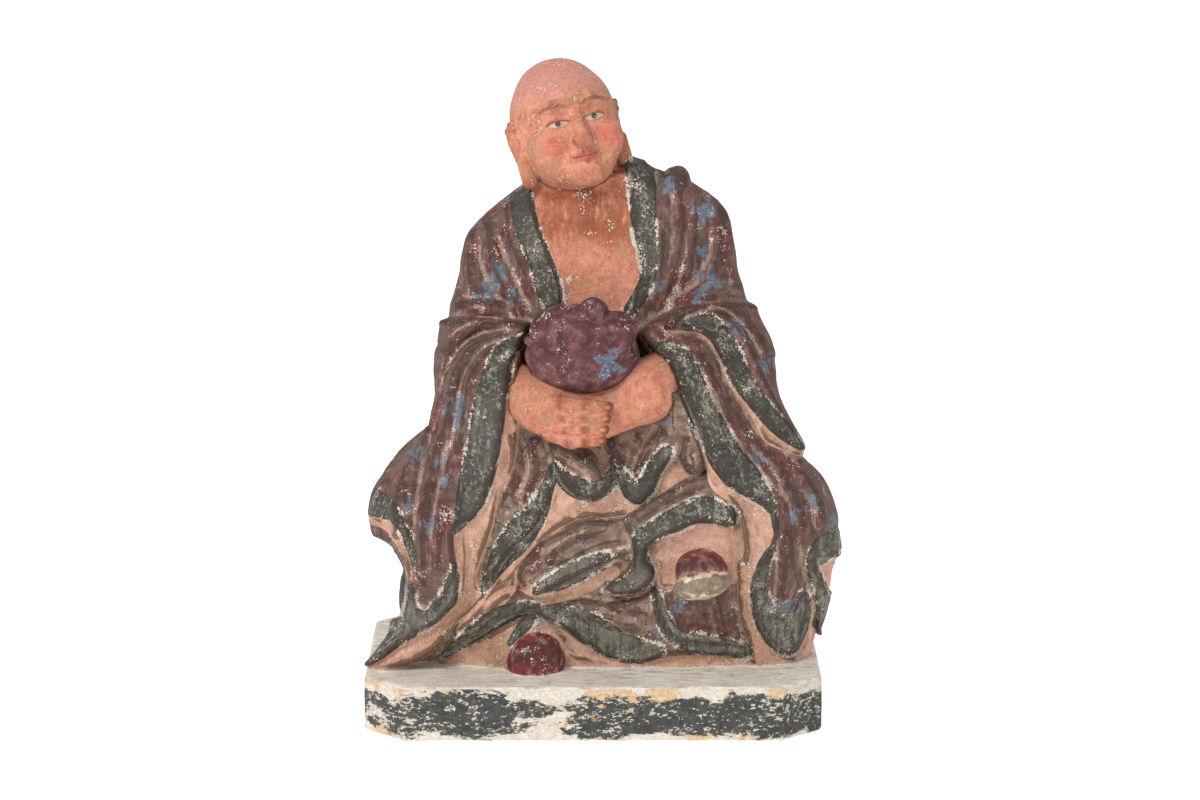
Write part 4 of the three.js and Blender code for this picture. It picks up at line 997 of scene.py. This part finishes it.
class Nodes:
    """Short names for the nodes of one material."""

    def __init__(self, name):
        self.material = bpy.data.materials.new(name)
        self.material.use_nodes = True
        self.tree = self.material.node_tree
        self.shader = self.tree.nodes["Principled BSDF"]

    def put(self, kind, inputs, **settings):
        node = self.tree.nodes.new(kind)
        for key, value in settings.items():
            setattr(node, key, value)
        for key, value in inputs.items():
            if isinstance(value, bpy.types.NodeSocket):
                self.tree.links.new(value, node.inputs[key])
            else:
                node.inputs[key].default_value = value
        return node

    def measure(self, name):
        return self.put("ShaderNodeAttribute", {}, attribute_name=name).outputs["Fac"]

    def axes(self, vector):
        return self.put("ShaderNodeSeparateXYZ", {0: vector}).outputs

    def math(self, operation, a, b=0.0):
        return self.put("ShaderNodeMath", {0: a, 1: b}, operation=operation).outputs[0]

    def add(self, a, b):
        return self.math("ADD", a, b)

    def times(self, a, b):
        return self.math("MULTIPLY", a, b)

    def size_of(self, value):
        return self.math("ABSOLUTE", value)

    def total(self, *parts):
        """The sum of some values, each times its share."""
        whole = self.times(*parts[0])
        for value, share in parts[1:]:
            whole = self.add(whole, self.times(value, share))
        return whole

    def swing(self, value, reach):
        """Noise from 0 to 1 as noise about nothing."""
        return self.times(self.add(value, -0.5), reach)

    def ramp(self, value, low, high):
        node = self.put("ShaderNodeMapRange", {"Value": value, "From Min": low, "From Max": high},
                        interpolation_type="SMOOTHSTEP")
        return node.outputs["Result"]

    def stretched(self, where, scale):
        return self.put("ShaderNodeMapping", {"Vector": where, "Scale": scale}).outputs["Vector"]

    def noise(self, where, size, detail, rough):
        """Noise from 0 to 1 whose grains are about size metres."""
        inputs = {"Vector": where, "Scale": 1 / size, "Detail": detail, "Roughness": rough}
        return self.put("ShaderNodeTexNoise", inputs).outputs["Fac"]

    def shifted(self, where, size, reach):
        """Places moved by up to reach metres, by noise whose grains are about size metres."""
        colour = self.put("ShaderNodeTexNoise", {"Vector": where, "Scale": 1 / size}).outputs["Color"]
        step = self.put("ShaderNodeVectorMath", {0: colour, "Scale": reach}, operation="SCALE").outputs[0]
        return self.put("ShaderNodeVectorMath", {0: where, 1: step}, operation="ADD").outputs[0]

    def mix(self, share, a, b):
        return self.put("ShaderNodeMix", {0: share, 6: a, 7: b}, data_type="RGBA").outputs[2]

    def multiply(self, a, b):
        inputs = {0: 1.0, 6: a, 7: b}
        return self.put("ShaderNodeMix", inputs, data_type="RGBA", blend_type="MULTIPLY").outputs[2]

    def blend(self, share, a, b):
        return self.put("ShaderNodeMix", {0: share, 2: a, 3: b}, data_type="FLOAT").outputs[0]

    def coats(self, ground, rows):
        """Coats laid over a ground, one after the other: (paint, where it is, strength)."""
        for paint, share, strength in rows:
            ground = self.mix(self.times(share, strength), ground, paint)
        return ground


# Where the dark paint on the plinth's sides is kept, on the scale of the flaking noise
KEPT_PAINT = (1.0, 1.015)
# Heights between which painted shade darkens the skin to brown under the chin: from, full at, to, full to
CHIN_SHADE_HEIGHTS = [PLINTH_HEIGHT + share * FIGURE_HEIGHT for share in (0.68, 0.73, 0.83, 0.77)]
# The hems fade from the first of these heights down to the second
FADED_HEMS = (0.42 * FIGURE_HEIGHT, 0.12 * FIGURE_HEIGHT)
# Size of the flakes that the cracks part
CRACK_CELL = 0.016


class Wear:
    """The noises, hollows, ridges and losses that the paints share."""

    def __init__(self, n):
        self.nodes = n
        where = n.put("ShaderNodeTexCoord", {}).outputs["Object"]
        self.where = where
        self.grain = n.noise(where, 0.0022, 5, 0.65)
        self.spots = n.noise(where, 0.0065, 5, 0.62)
        self.patches = n.noise(n.stretched(where, (1, 1, 0.6)), 0.013, 6, 0.62)
        self.clouds = n.noise(where, 0.026, 3, 0.5)
        self.crumbs = n.noise(where, 0.0011, 3, 0.6)
        self.streaks = n.noise(n.stretched(where, (1, 1, 0.16)), 0.0028, 4, 0.6)
        self.height = n.axes(where)[2]
        self.fine, self.broad = n.measure("fine_hollow"), n.measure("broad_hollow")
        self.hollow = n.total((n.ramp(self.fine, 0.05, 1.0), 0.6), (n.ramp(self.broad, 0.05, 0.9), 0.7))
        self.ridge = n.total((n.ramp(self.fine, -0.05, -0.9), 0.55), (n.ramp(self.broad, -0.1, -0.8), 0.6))
        self.scuffs = n.total((self.grain, 0.45), (self.patches, 0.35), (self.streaks, 0.2))
        worn = n.add(n.swing(self.patches, 2.6), n.swing(self.streaks, 2.0))
        self.rubbed = n.ramp(n.add(n.times(self.ridge, 0.8), worn), 0.45, 0.9)
        self.dusty = n.ramp(n.add(n.times(self.ridge, 0.5), n.swing(self.clouds, 1.5)), -0.05, 0.6)
        cells = n.put("ShaderNodeTexVoronoi", {
            "Vector": n.shifted(where, 0.012, 0.008), "Scale": 1 / CRACK_CELL}, feature="DISTANCE_TO_EDGE")
        cracked = n.ramp(self.clouds, 0.48, 0.56)
        self.cracks = n.times(n.ramp(cells.outputs["Distance"], 0.035, 0.01), cracked)
        self.gesso = n.mix(self.spots, srgb(236, 229, 218), srgb(206, 194, 176))
        self.blue = n.mix(self.spots, srgb(70, 100, 128), srgb(128, 148, 162))

    def edge(self, name, soft, ragged):
        """Share of the paint of that name, with a hand-painted edge."""
        n = self.nodes
        return n.ramp(n.add(n.measure(name), n.swing(self.spots, ragged)), -soft, soft)


def robe_paint(n, w):
    """Dark maroon with red and dusty patches and blue flowers, rubbed to beige along its folds."""
    petals = n.times(w.edge("flower", 0.25, 5.0), n.ramp(w.streaks, 0.36, 0.5))
    ground = n.mix(n.ramp(w.spots, 0.36, 0.64), srgb(92, 54, 52), srgb(124, 88, 80))
    return n.coats(ground, [
        (srgb(142, 122, 108), w.dusty, 0.7),
        (srgb(108, 36, 40), n.ramp(w.patches, 0.565, 0.615), 0.8),
        (srgb(100, 88, 76), n.ramp(w.patches, 0.46, 0.38), 0.75),
        (srgb(158, 138, 126), n.ramp(w.streaks, 0.52, 0.7), 0.5),
        (w.blue, petals, 0.75),
        (n.mix(w.grain, srgb(152, 126, 113), srgb(190, 164, 146)), w.rubbed, 0.55),
        (srgb(66, 44, 40), w.cracks, 0.5),
    ])


def brown_paint(n, w):
    """The under-robe's dusty brown, with maroon, greenish and blue stains and cracks."""
    stains = n.times(n.ramp(w.clouds, 0.6, 0.64), n.ramp(w.streaks, 0.45, 0.55))
    ground = n.mix(n.ramp(w.spots, 0.36, 0.64), srgb(116, 90, 78), srgb(156, 130, 112))
    return n.coats(ground, [
        (srgb(100, 56, 54), n.ramp(w.patches, 0.53, 0.59), 0.8),
        (srgb(98, 92, 80), n.ramp(w.patches, 0.43, 0.36), 0.8),
        (w.blue, stains, 0.6),
        (srgb(196, 168, 146), w.rubbed, 0.6),
        (srgb(60, 44, 38), w.cracks, 0.75),
    ])


def lining_paint(n, w):
    """Pinkish beige, browner in patches and in streaks, with brown painted shade in the hollows."""
    streaked = n.times(n.ramp(w.streaks, 0.52, 0.64), n.ramp(w.clouds, 0.46, 0.58))
    ground = n.mix(n.ramp(w.spots, 0.35, 0.7), srgb(214, 172, 150), srgb(194, 150, 128))
    return n.coats(ground, [
        (srgb(180, 140, 110), n.ramp(w.patches, 0.47, 0.58), 0.65),
        (srgb(150, 112, 88), streaked, 0.5),
        # Painted shade: browner in the lining's hollows
        (srgb(172, 126, 98), n.ramp(n.add(w.broad, n.swing(w.spots, 0.6)), 0.0, 0.5), 0.7),
    ])


def hem_paint(n, w):
    """Dark grey, faded low down, scuffed all over and with a black line along its edge."""
    faded = n.add(n.ramp(w.height, *FADED_HEMS), n.swing(w.clouds, 2.5))
    faded = n.times(n.ramp(faded, 0.0, 1.0), n.ramp(w.streaks, 0.36, 0.56))
    stains = n.times(n.ramp(w.clouds, 0.54, 0.6), n.ramp(w.spots, 0.5, 0.58))
    inward = n.add(n.measure("hem"), n.add(-0.2, n.swing(w.spots, 0.25)))
    ground = n.mix(n.ramp(w.spots, 0.36, 0.64), srgb(60, 59, 53), srgb(80, 78, 71))
    return n.coats(ground, [
        (srgb(122, 118, 106), faded, 0.8),
        (srgb(146, 142, 128), n.ramp(w.scuffs, 0.5, 0.57), 0.7),
        (srgb(84, 58, 50), stains, 0.5),
        (srgb(120, 118, 110), w.dusty, 0.4),
        (srgb(150, 146, 134), w.rubbed, 0.4),
        (srgb(36, 36, 34), n.ramp(n.size_of(inward), 0.14, 0.03), 0.75),
    ])


def skin_paint(n, w):
    """Orange pink in uneven coats, worn to tan, with brown painted shade in the hollows and under the
    chin.
    """
    pale = n.times(n.ramp(w.clouds, 0.52, 0.42), n.ramp(w.streaks, 0.42, 0.6))
    tan = n.times(n.ramp(w.clouds, 0.51, 0.58), n.ramp(w.spots, 0.47, 0.56))
    # Painted shade under the chin and jaw, broken up by patches and streaks
    chin_shade = n.times(n.ramp(w.height, *CHIN_SHADE_HEIGHTS[:2]), n.ramp(w.height, *CHIN_SHADE_HEIGHTS[2:]))
    chin_shade = n.times(chin_shade, n.ramp(n.total((w.patches, 0.6), (w.streaks, 0.4)), 0.36, 0.52))
    ground = n.mix(n.ramp(w.spots, 0.3, 0.7), srgb(216, 150, 124), srgb(196, 122, 94))
    return n.coats(ground, [
        (srgb(178, 96, 66), n.ramp(w.patches, 0.48, 0.6), 0.5),
        (srgb(226, 168, 146), pale, 0.5),
        (srgb(176, 96, 64), n.ramp(w.streaks, 0.52, 0.68), 0.5),
        (srgb(184, 148, 118), tan, 0.55),
        (srgb(146, 74, 46), chin_shade, 0.8),
        # Painted shade: brown in the skin's hollows, broad and fine
        (srgb(140, 70, 44), n.ramp(n.add(w.broad, n.times(w.fine, 0.6)), 0.08, 0.8), 0.8),
    ])


def bundle_paint(n, w):
    star = n.times(w.edge("bundle_star", 0.25, 4.0), n.ramp(w.grain, 0.36, 0.48))
    return n.coats(n.mix(n.ramp(w.spots, 0.4, 0.66), srgb(98, 52, 57), srgb(132, 92, 92)), [
        (srgb(72, 36, 40), n.ramp(w.patches, 0.5, 0.6), 0.7),
        (w.blue, star, 0.75),
        (srgb(166, 138, 130), w.rubbed, 0.6),
    ])


def shoe_paint(n, w):
    return n.coats(n.mix(n.ramp(w.spots, 0.45, 0.6), srgb(126, 56, 62), srgb(158, 122, 112)), [
        (srgb(104, 28, 38), n.ramp(w.patches, 0.5, 0.56), 0.8),
    ])


def sole_paint(n, w):
    return n.mix(n.ramp(w.spots, 0.35, 0.65), srgb(244, 230, 206), srgb(204, 174, 140))


def rock_paint(n, w):
    return n.coats(n.mix(n.ramp(w.spots, 0.4, 0.6), srgb(54, 48, 44), srgb(82, 74, 66)), [
        (srgb(128, 116, 102), w.rubbed, 0.6),
    ])


def kept_on_plinth(n, w):
    """Share of the dark paint that is left on the plinth's sides, least along their edges."""
    flakes = n.noise(n.stretched(w.where, (0.45, 0.45, 1)), 0.006, 9, 0.8)
    band = n.noise(n.stretched(w.where, (0.35, 0.35, 0.8)), 0.02, 3, 0.5)
    low = n.ramp(w.height, 0.22 * PLINTH_HEIGHT, 0.0)
    kept = n.add(n.add(flakes, band), n.times(w.grain, 0.22))
    kept = n.add(kept, n.total((plinth_rim(n, w), -0.27), (low, -0.17)))
    return n.ramp(kept, *KEPT_PAINT)


def plinth_rim(n, w):
    return n.ramp(w.height, 0.6 * PLINTH_HEIGHT, PLINTH_HEIGHT)


def plinth_paint(n, w, kept):
    """Dark sides with large losses down to gesso and clay, and a pale brushed top."""
    bare = n.mix(w.clouds, srgb(206, 166, 124), srgb(228, 200, 162))
    lost = n.mix(n.ramp(n.add(w.clouds, n.times(plinth_rim(n, w), 0.05)), 0.555, 0.575), w.gesso, bare)
    dark = n.coats(n.mix(n.ramp(w.spots, 0.35, 0.65), srgb(58, 60, 58), srgb(78, 80, 78)), [
        (srgb(120, 118, 110), n.ramp(w.scuffs, 0.54, 0.62), 0.5),
    ])
    chipped = n.noise(n.stretched(w.where, (0.5, 0.5, 1)), 0.002, 5, 0.7)
    side = n.coats(n.mix(kept, lost, dark), [
        (w.gesso, n.ramp(n.add(chipped, n.times(w.patches, 0.3)), 0.72, 0.75), 0.9),
    ])
    brushed = n.noise(n.stretched(w.where, (0.1, 0.6, 1)), 0.0016, 4, 0.6)
    stains = n.times(n.ramp(w.patches, 0.5, 0.64), n.ramp(brushed, 0.4, 0.6))
    top = n.coats(n.mix(n.ramp(brushed, 0.38, 0.62), srgb(248, 242, 234), srgb(222, 212, 200)), [
        (srgb(170, 152, 136), stains, 0.6),
        (w.gesso, n.ramp(w.clouds, 0.5, 0.6), 0.5),
    ])
    up = n.axes(n.put("ShaderNodeNewGeometry", {}).outputs["Normal"])[2]
    return n.mix(n.ramp(up, 0.5, 0.8), side, top)


def gesso_flecks(n, w):
    """White flecks and broken lines where gesso shows, most along the hems' edges."""
    by_hem = n.ramp(n.size_of(n.add(n.measure("hem"), 0.05)), 0.55, 0.05)
    by_hem = n.times(by_hem, n.ramp(w.clouds, 0.4, 0.56))
    flecks = n.total((w.crumbs, 0.45), (w.spots, 0.35), (w.patches, 0.35), (by_hem, 0.1), (w.ridge, 0.03))
    return n.ramp(flecks, 0.668, 0.688)


def pottery_material():
    n = Nodes("painted_pottery")
    w = Wear(n)
    kept = kept_on_plinth(n, w)
    flecked = gesso_flecks(n, w)
    colour = robe_paint(n, w)
    for name, paint, ragged in (("brown", brown_paint, 0.7), ("lining", lining_paint, 0.3),
                                ("hem", hem_paint, 0.3), ("rock", rock_paint, 0.5)):
        colour = n.mix(w.edge(name, 0.08, ragged), colour, paint(n, w))
    on_flesh = w.edge("flesh", 0.08, 0.15)
    colour = n.mix(on_flesh, colour, painted_face(n, w, skin_paint(n, w)))
    for name, paint, ragged in (("bundle", bundle_paint, 0.1), ("shoes", shoe_paint, 0.1),
                                ("sole", sole_paint, 1.2)):
        colour = n.mix(w.edge(name, 0.08, ragged), colour, paint(n, w))
    # Painted shade and grime: dark brown laid over the hollows and creases of the clay, weaker on the skin
    shade_and_grime = n.ramp(n.add(w.hollow, n.swing(w.spots, 0.5)), 0.22, 0.95)
    colour = n.coats(colour, [
        (srgb(62, 46, 38), n.times(shade_and_grime, n.blend(on_flesh, 1.0, 0.6)), 0.7),
        (w.gesso, flecked, 0.92),
    ])
    plinth = w.edge("plinth", 0.1, 0.3)
    colour = n.mix(plinth, colour, plinth_paint(n, w, kept))
    # Painted shade: the colour is darkened in the clay's small pits, the low places of the grain that also
    # makes the bump
    pit_shade = n.ramp(n.total((w.grain, 0.6), (w.crumbs, 0.4)), 0.34, 0.66)
    colour = n.multiply(colour, n.mix(pit_shade, (0.72, 0.7, 0.68, 1), (1, 1, 1, 1)))
    n.tree.links.new(colour, n.shader.inputs["Base Color"])
    n.tree.links.new(n.blend(w.spots, 0.62, 0.88), n.shader.inputs["Roughness"])
    n.shader.inputs["Specular IOR Level"].default_value = 0.35

    relief = n.total((w.grain, 0.5), (w.crumbs, 0.25), (w.spots, 0.6), (n.times(kept, plinth), 0.5),
                     (n.add(flecked, w.cracks), -0.4))
    bump = n.put("ShaderNodeBump", {"Strength": 0.6, "Distance": 0.0007, "Height": relief})
    n.tree.links.new(bump.outputs["Normal"], n.shader.inputs["Normal"])
    return n.material


def painted_face(n, w, flesh):
    """Pinker scalp and cheeks, and the eyes, brows and lips painted on the head."""
    axes = n.axes(n.put("ShaderNodeAttribute", {}, attribute_name="face_place").outputs["Vector"])
    x, y, z = n.size_of(axes[0]), axes[1], axes[2]
    on_head = n.ramp(n.measure("flesh_head"), -0.1, 0.1)
    before = n.times(n.ramp(y, -3.5, -5.0), on_head)

    def oval(across, up, width, height):
        """How far out from a place on both sides of the face, in shares of an oval's reach."""
        a = n.times(n.add(x, -across), 1 / width)
        b = n.times(n.add(z, -up), 1 / height)
        return n.math("SQRT", n.add(n.times(a, a), n.times(b, b)))

    scalp = n.times(n.ramp(z, 3.2, 6.5), on_head)
    flesh = n.mix(n.times(scalp, 0.7), flesh, n.mix(w.spots, srgb(222, 160, 146), srgb(200, 136, 124)))

    lips = n.ramp(n.add(oval(0.0, MOUTH_LINE, 2.3, 1.0), n.times(w.grain, 0.4)), 1.25, 0.95)
    curve = n.times(n.times(x, x), -0.05)
    mouth = n.ramp(n.size_of(n.add(z, n.add(-MOUTH_LINE - 0.05, curve))), 0.22, 0.04)
    eye = EYE_LINE - 0.12
    white = n.ramp(oval(EYE_APART, eye, 1.6, 0.45), 1.08, 0.88)
    iris = n.ramp(oval(EYE_APART, EYE_LINE - 0.02, 0.52, 0.52), 1.1, 0.8)
    rim = n.ramp(n.size_of(n.add(oval(EYE_APART, eye, 1.75, 0.52), -1.05)), 0.24, 0.03)
    upper = n.ramp(z, EYE_LINE - 0.2, EYE_LINE + 0.1)
    off = n.add(x, -3.5)
    lift = n.add(n.times(n.times(off, off), -0.11), 3.05)
    along = n.ramp(n.size_of(n.add(x, -3.6)), 2.7, 1.7)
    brow = n.ramp(n.size_of(n.add(z, n.times(lift, -1.0))), 0.5, 0.12)
    coats = [
        (srgb(208, 96, 80), n.ramp(oval(4.8, -3.4, 3.0, 3.0), 1.0, 0.2), 0.5),
        (srgb(178, 82, 72), lips, 0.6),
        (srgb(112, 56, 50), n.times(mouth, n.ramp(x, 2.6, 1.9)), 0.7),
        (n.mix(w.grain, srgb(216, 200, 180), srgb(186, 166, 146)), white, 0.85),
        (srgb(62, 52, 48), n.times(iris, white), 0.9),
        (srgb(76, 54, 46), n.times(rim, upper), 0.75),
        (srgb(92, 74, 66), n.times(n.times(brow, along), n.ramp(w.grain, 0.3, 0.56)), 0.75),
    ]
    return n.coats(flesh, [(paint, n.times(share, before), strength) for paint, share, strength in coats])


def floor_material():
    n = Nodes("studio_floor")
    n.shader.inputs["Base Color"].default_value = (0.9, 0.9, 0.9, 1)
    n.shader.inputs["Roughness"].default_value = 0.3
    n.shader.inputs["Emission Color"].default_value = (1, 1, 1, 1)
    n.shader.inputs["Emission Strength"].default_value = 0.6
    return n.material


def make_piece(name, chosen, low, high, step, limit, material):
    piece = bpy.data.objects.new(name, clay_mesh(name, chosen, low, high, step))
    bpy.context.scene.collection.objects.link(piece)
    before = len(piece.data.polygons)
    thin_out(piece, limit)
    mesh = piece.data
    print(name, before, "squares thinned to", len(mesh.polygons), "faces")
    add_measures(mesh)
    to_metres(mesh)
    mesh.polygons.foreach_set("use_smooth", np.ones(len(mesh.polygons), bool))
    mesh.materials.clear()
    mesh.materials.append(material)
    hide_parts("luohan_figure")
    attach(piece, "root")


pottery = pottery_material()
for row in PIECES:
    make_piece(*row, pottery)


# Floor, lights and camera
FLOOR_HALF = 25.0


def make_floor():
    mesh = bpy.data.meshes.new("studio_floor")
    corners = [(x * FLOOR_HALF, y * FLOOR_HALF, 0) for x, y in ((-1, -1), (1, -1), (1, 1), (-1, 1))]
    mesh.from_pydata(corners, [], [(0, 1, 2, 3)])
    floor = bpy.data.objects.new("studio_floor", mesh)
    floor.data.materials.append(floor_material())
    bpy.context.scene.collection.objects.link(floor)


def make_light(name, place, target, size, watts):
    data = bpy.data.lights.new(name, "AREA")
    data.energy = watts
    data.size = size
    light = bpy.data.objects.new(name, data)
    light.location = place
    light.rotation_euler = (Vector(target) - Vector(place)).to_track_quat("-Z", "Y").to_euler()
    bpy.context.scene.collection.objects.link(light)


def make_world():
    world = bpy.data.worlds.new("studio")
    world.use_nodes = True
    background = world.node_tree.nodes["Background"]
    background.inputs["Color"].default_value = (1, 1, 1, 1)
    background.inputs["Strength"].default_value = 0.48
    bpy.context.scene.world = world


# The photo's width and middle, and the pixel where the eye's aim shows
PHOTO_WIDTH = 1200
PHOTO_MIDDLE = (600, 400)
AIM_PIXEL = (593, 369)
METRES_PER_PIXEL = PART / 6
SENSOR_WIDTH = 36.0


def make_camera():
    distance = EYE_DISTANCE * PART
    aim = Vector((0, 0, PLINTH_HEIGHT + EYE_AIM * PART))
    back = Vector((0, -math.cos(EYE_RISE), math.sin(EYE_RISE)))
    eye = aim + distance * back
    right = Vector((1, 0, 0))
    up = right.cross(-back)
    middle = aim + METRES_PER_PIXEL * (
        right * (PHOTO_MIDDLE[0] - AIM_PIXEL[0]) - up * (PHOTO_MIDDLE[1] - AIM_PIXEL[1]))
    data = bpy.data.cameras.new("camera")
    data.sensor_width = SENSOR_WIDTH
    data.lens = SENSOR_WIDTH * distance / (PHOTO_WIDTH * METRES_PER_PIXEL)
    camera = bpy.data.objects.new("camera", data)
    camera.location = eye
    camera.rotation_euler = (middle - eye).to_track_quat("-Z", "Y").to_euler()
    bpy.context.scene.collection.objects.link(camera)
    bpy.context.scene.camera = camera


make_floor()
make_world()
make_light("key", (-1.3, -1.9, 2.0), (0, 0, 0.2), 0.8, 54)
make_light("fill", (1.7, -1.7, 1.2), (0, 0, 0.2), 1.6, 10)
make_light("back", (0.3, 2.2, 2.0), (0, 0, 0.3), 1.6, 16)
make_camera()
bpy.context.scene.view_settings.view_transform = "Standard"
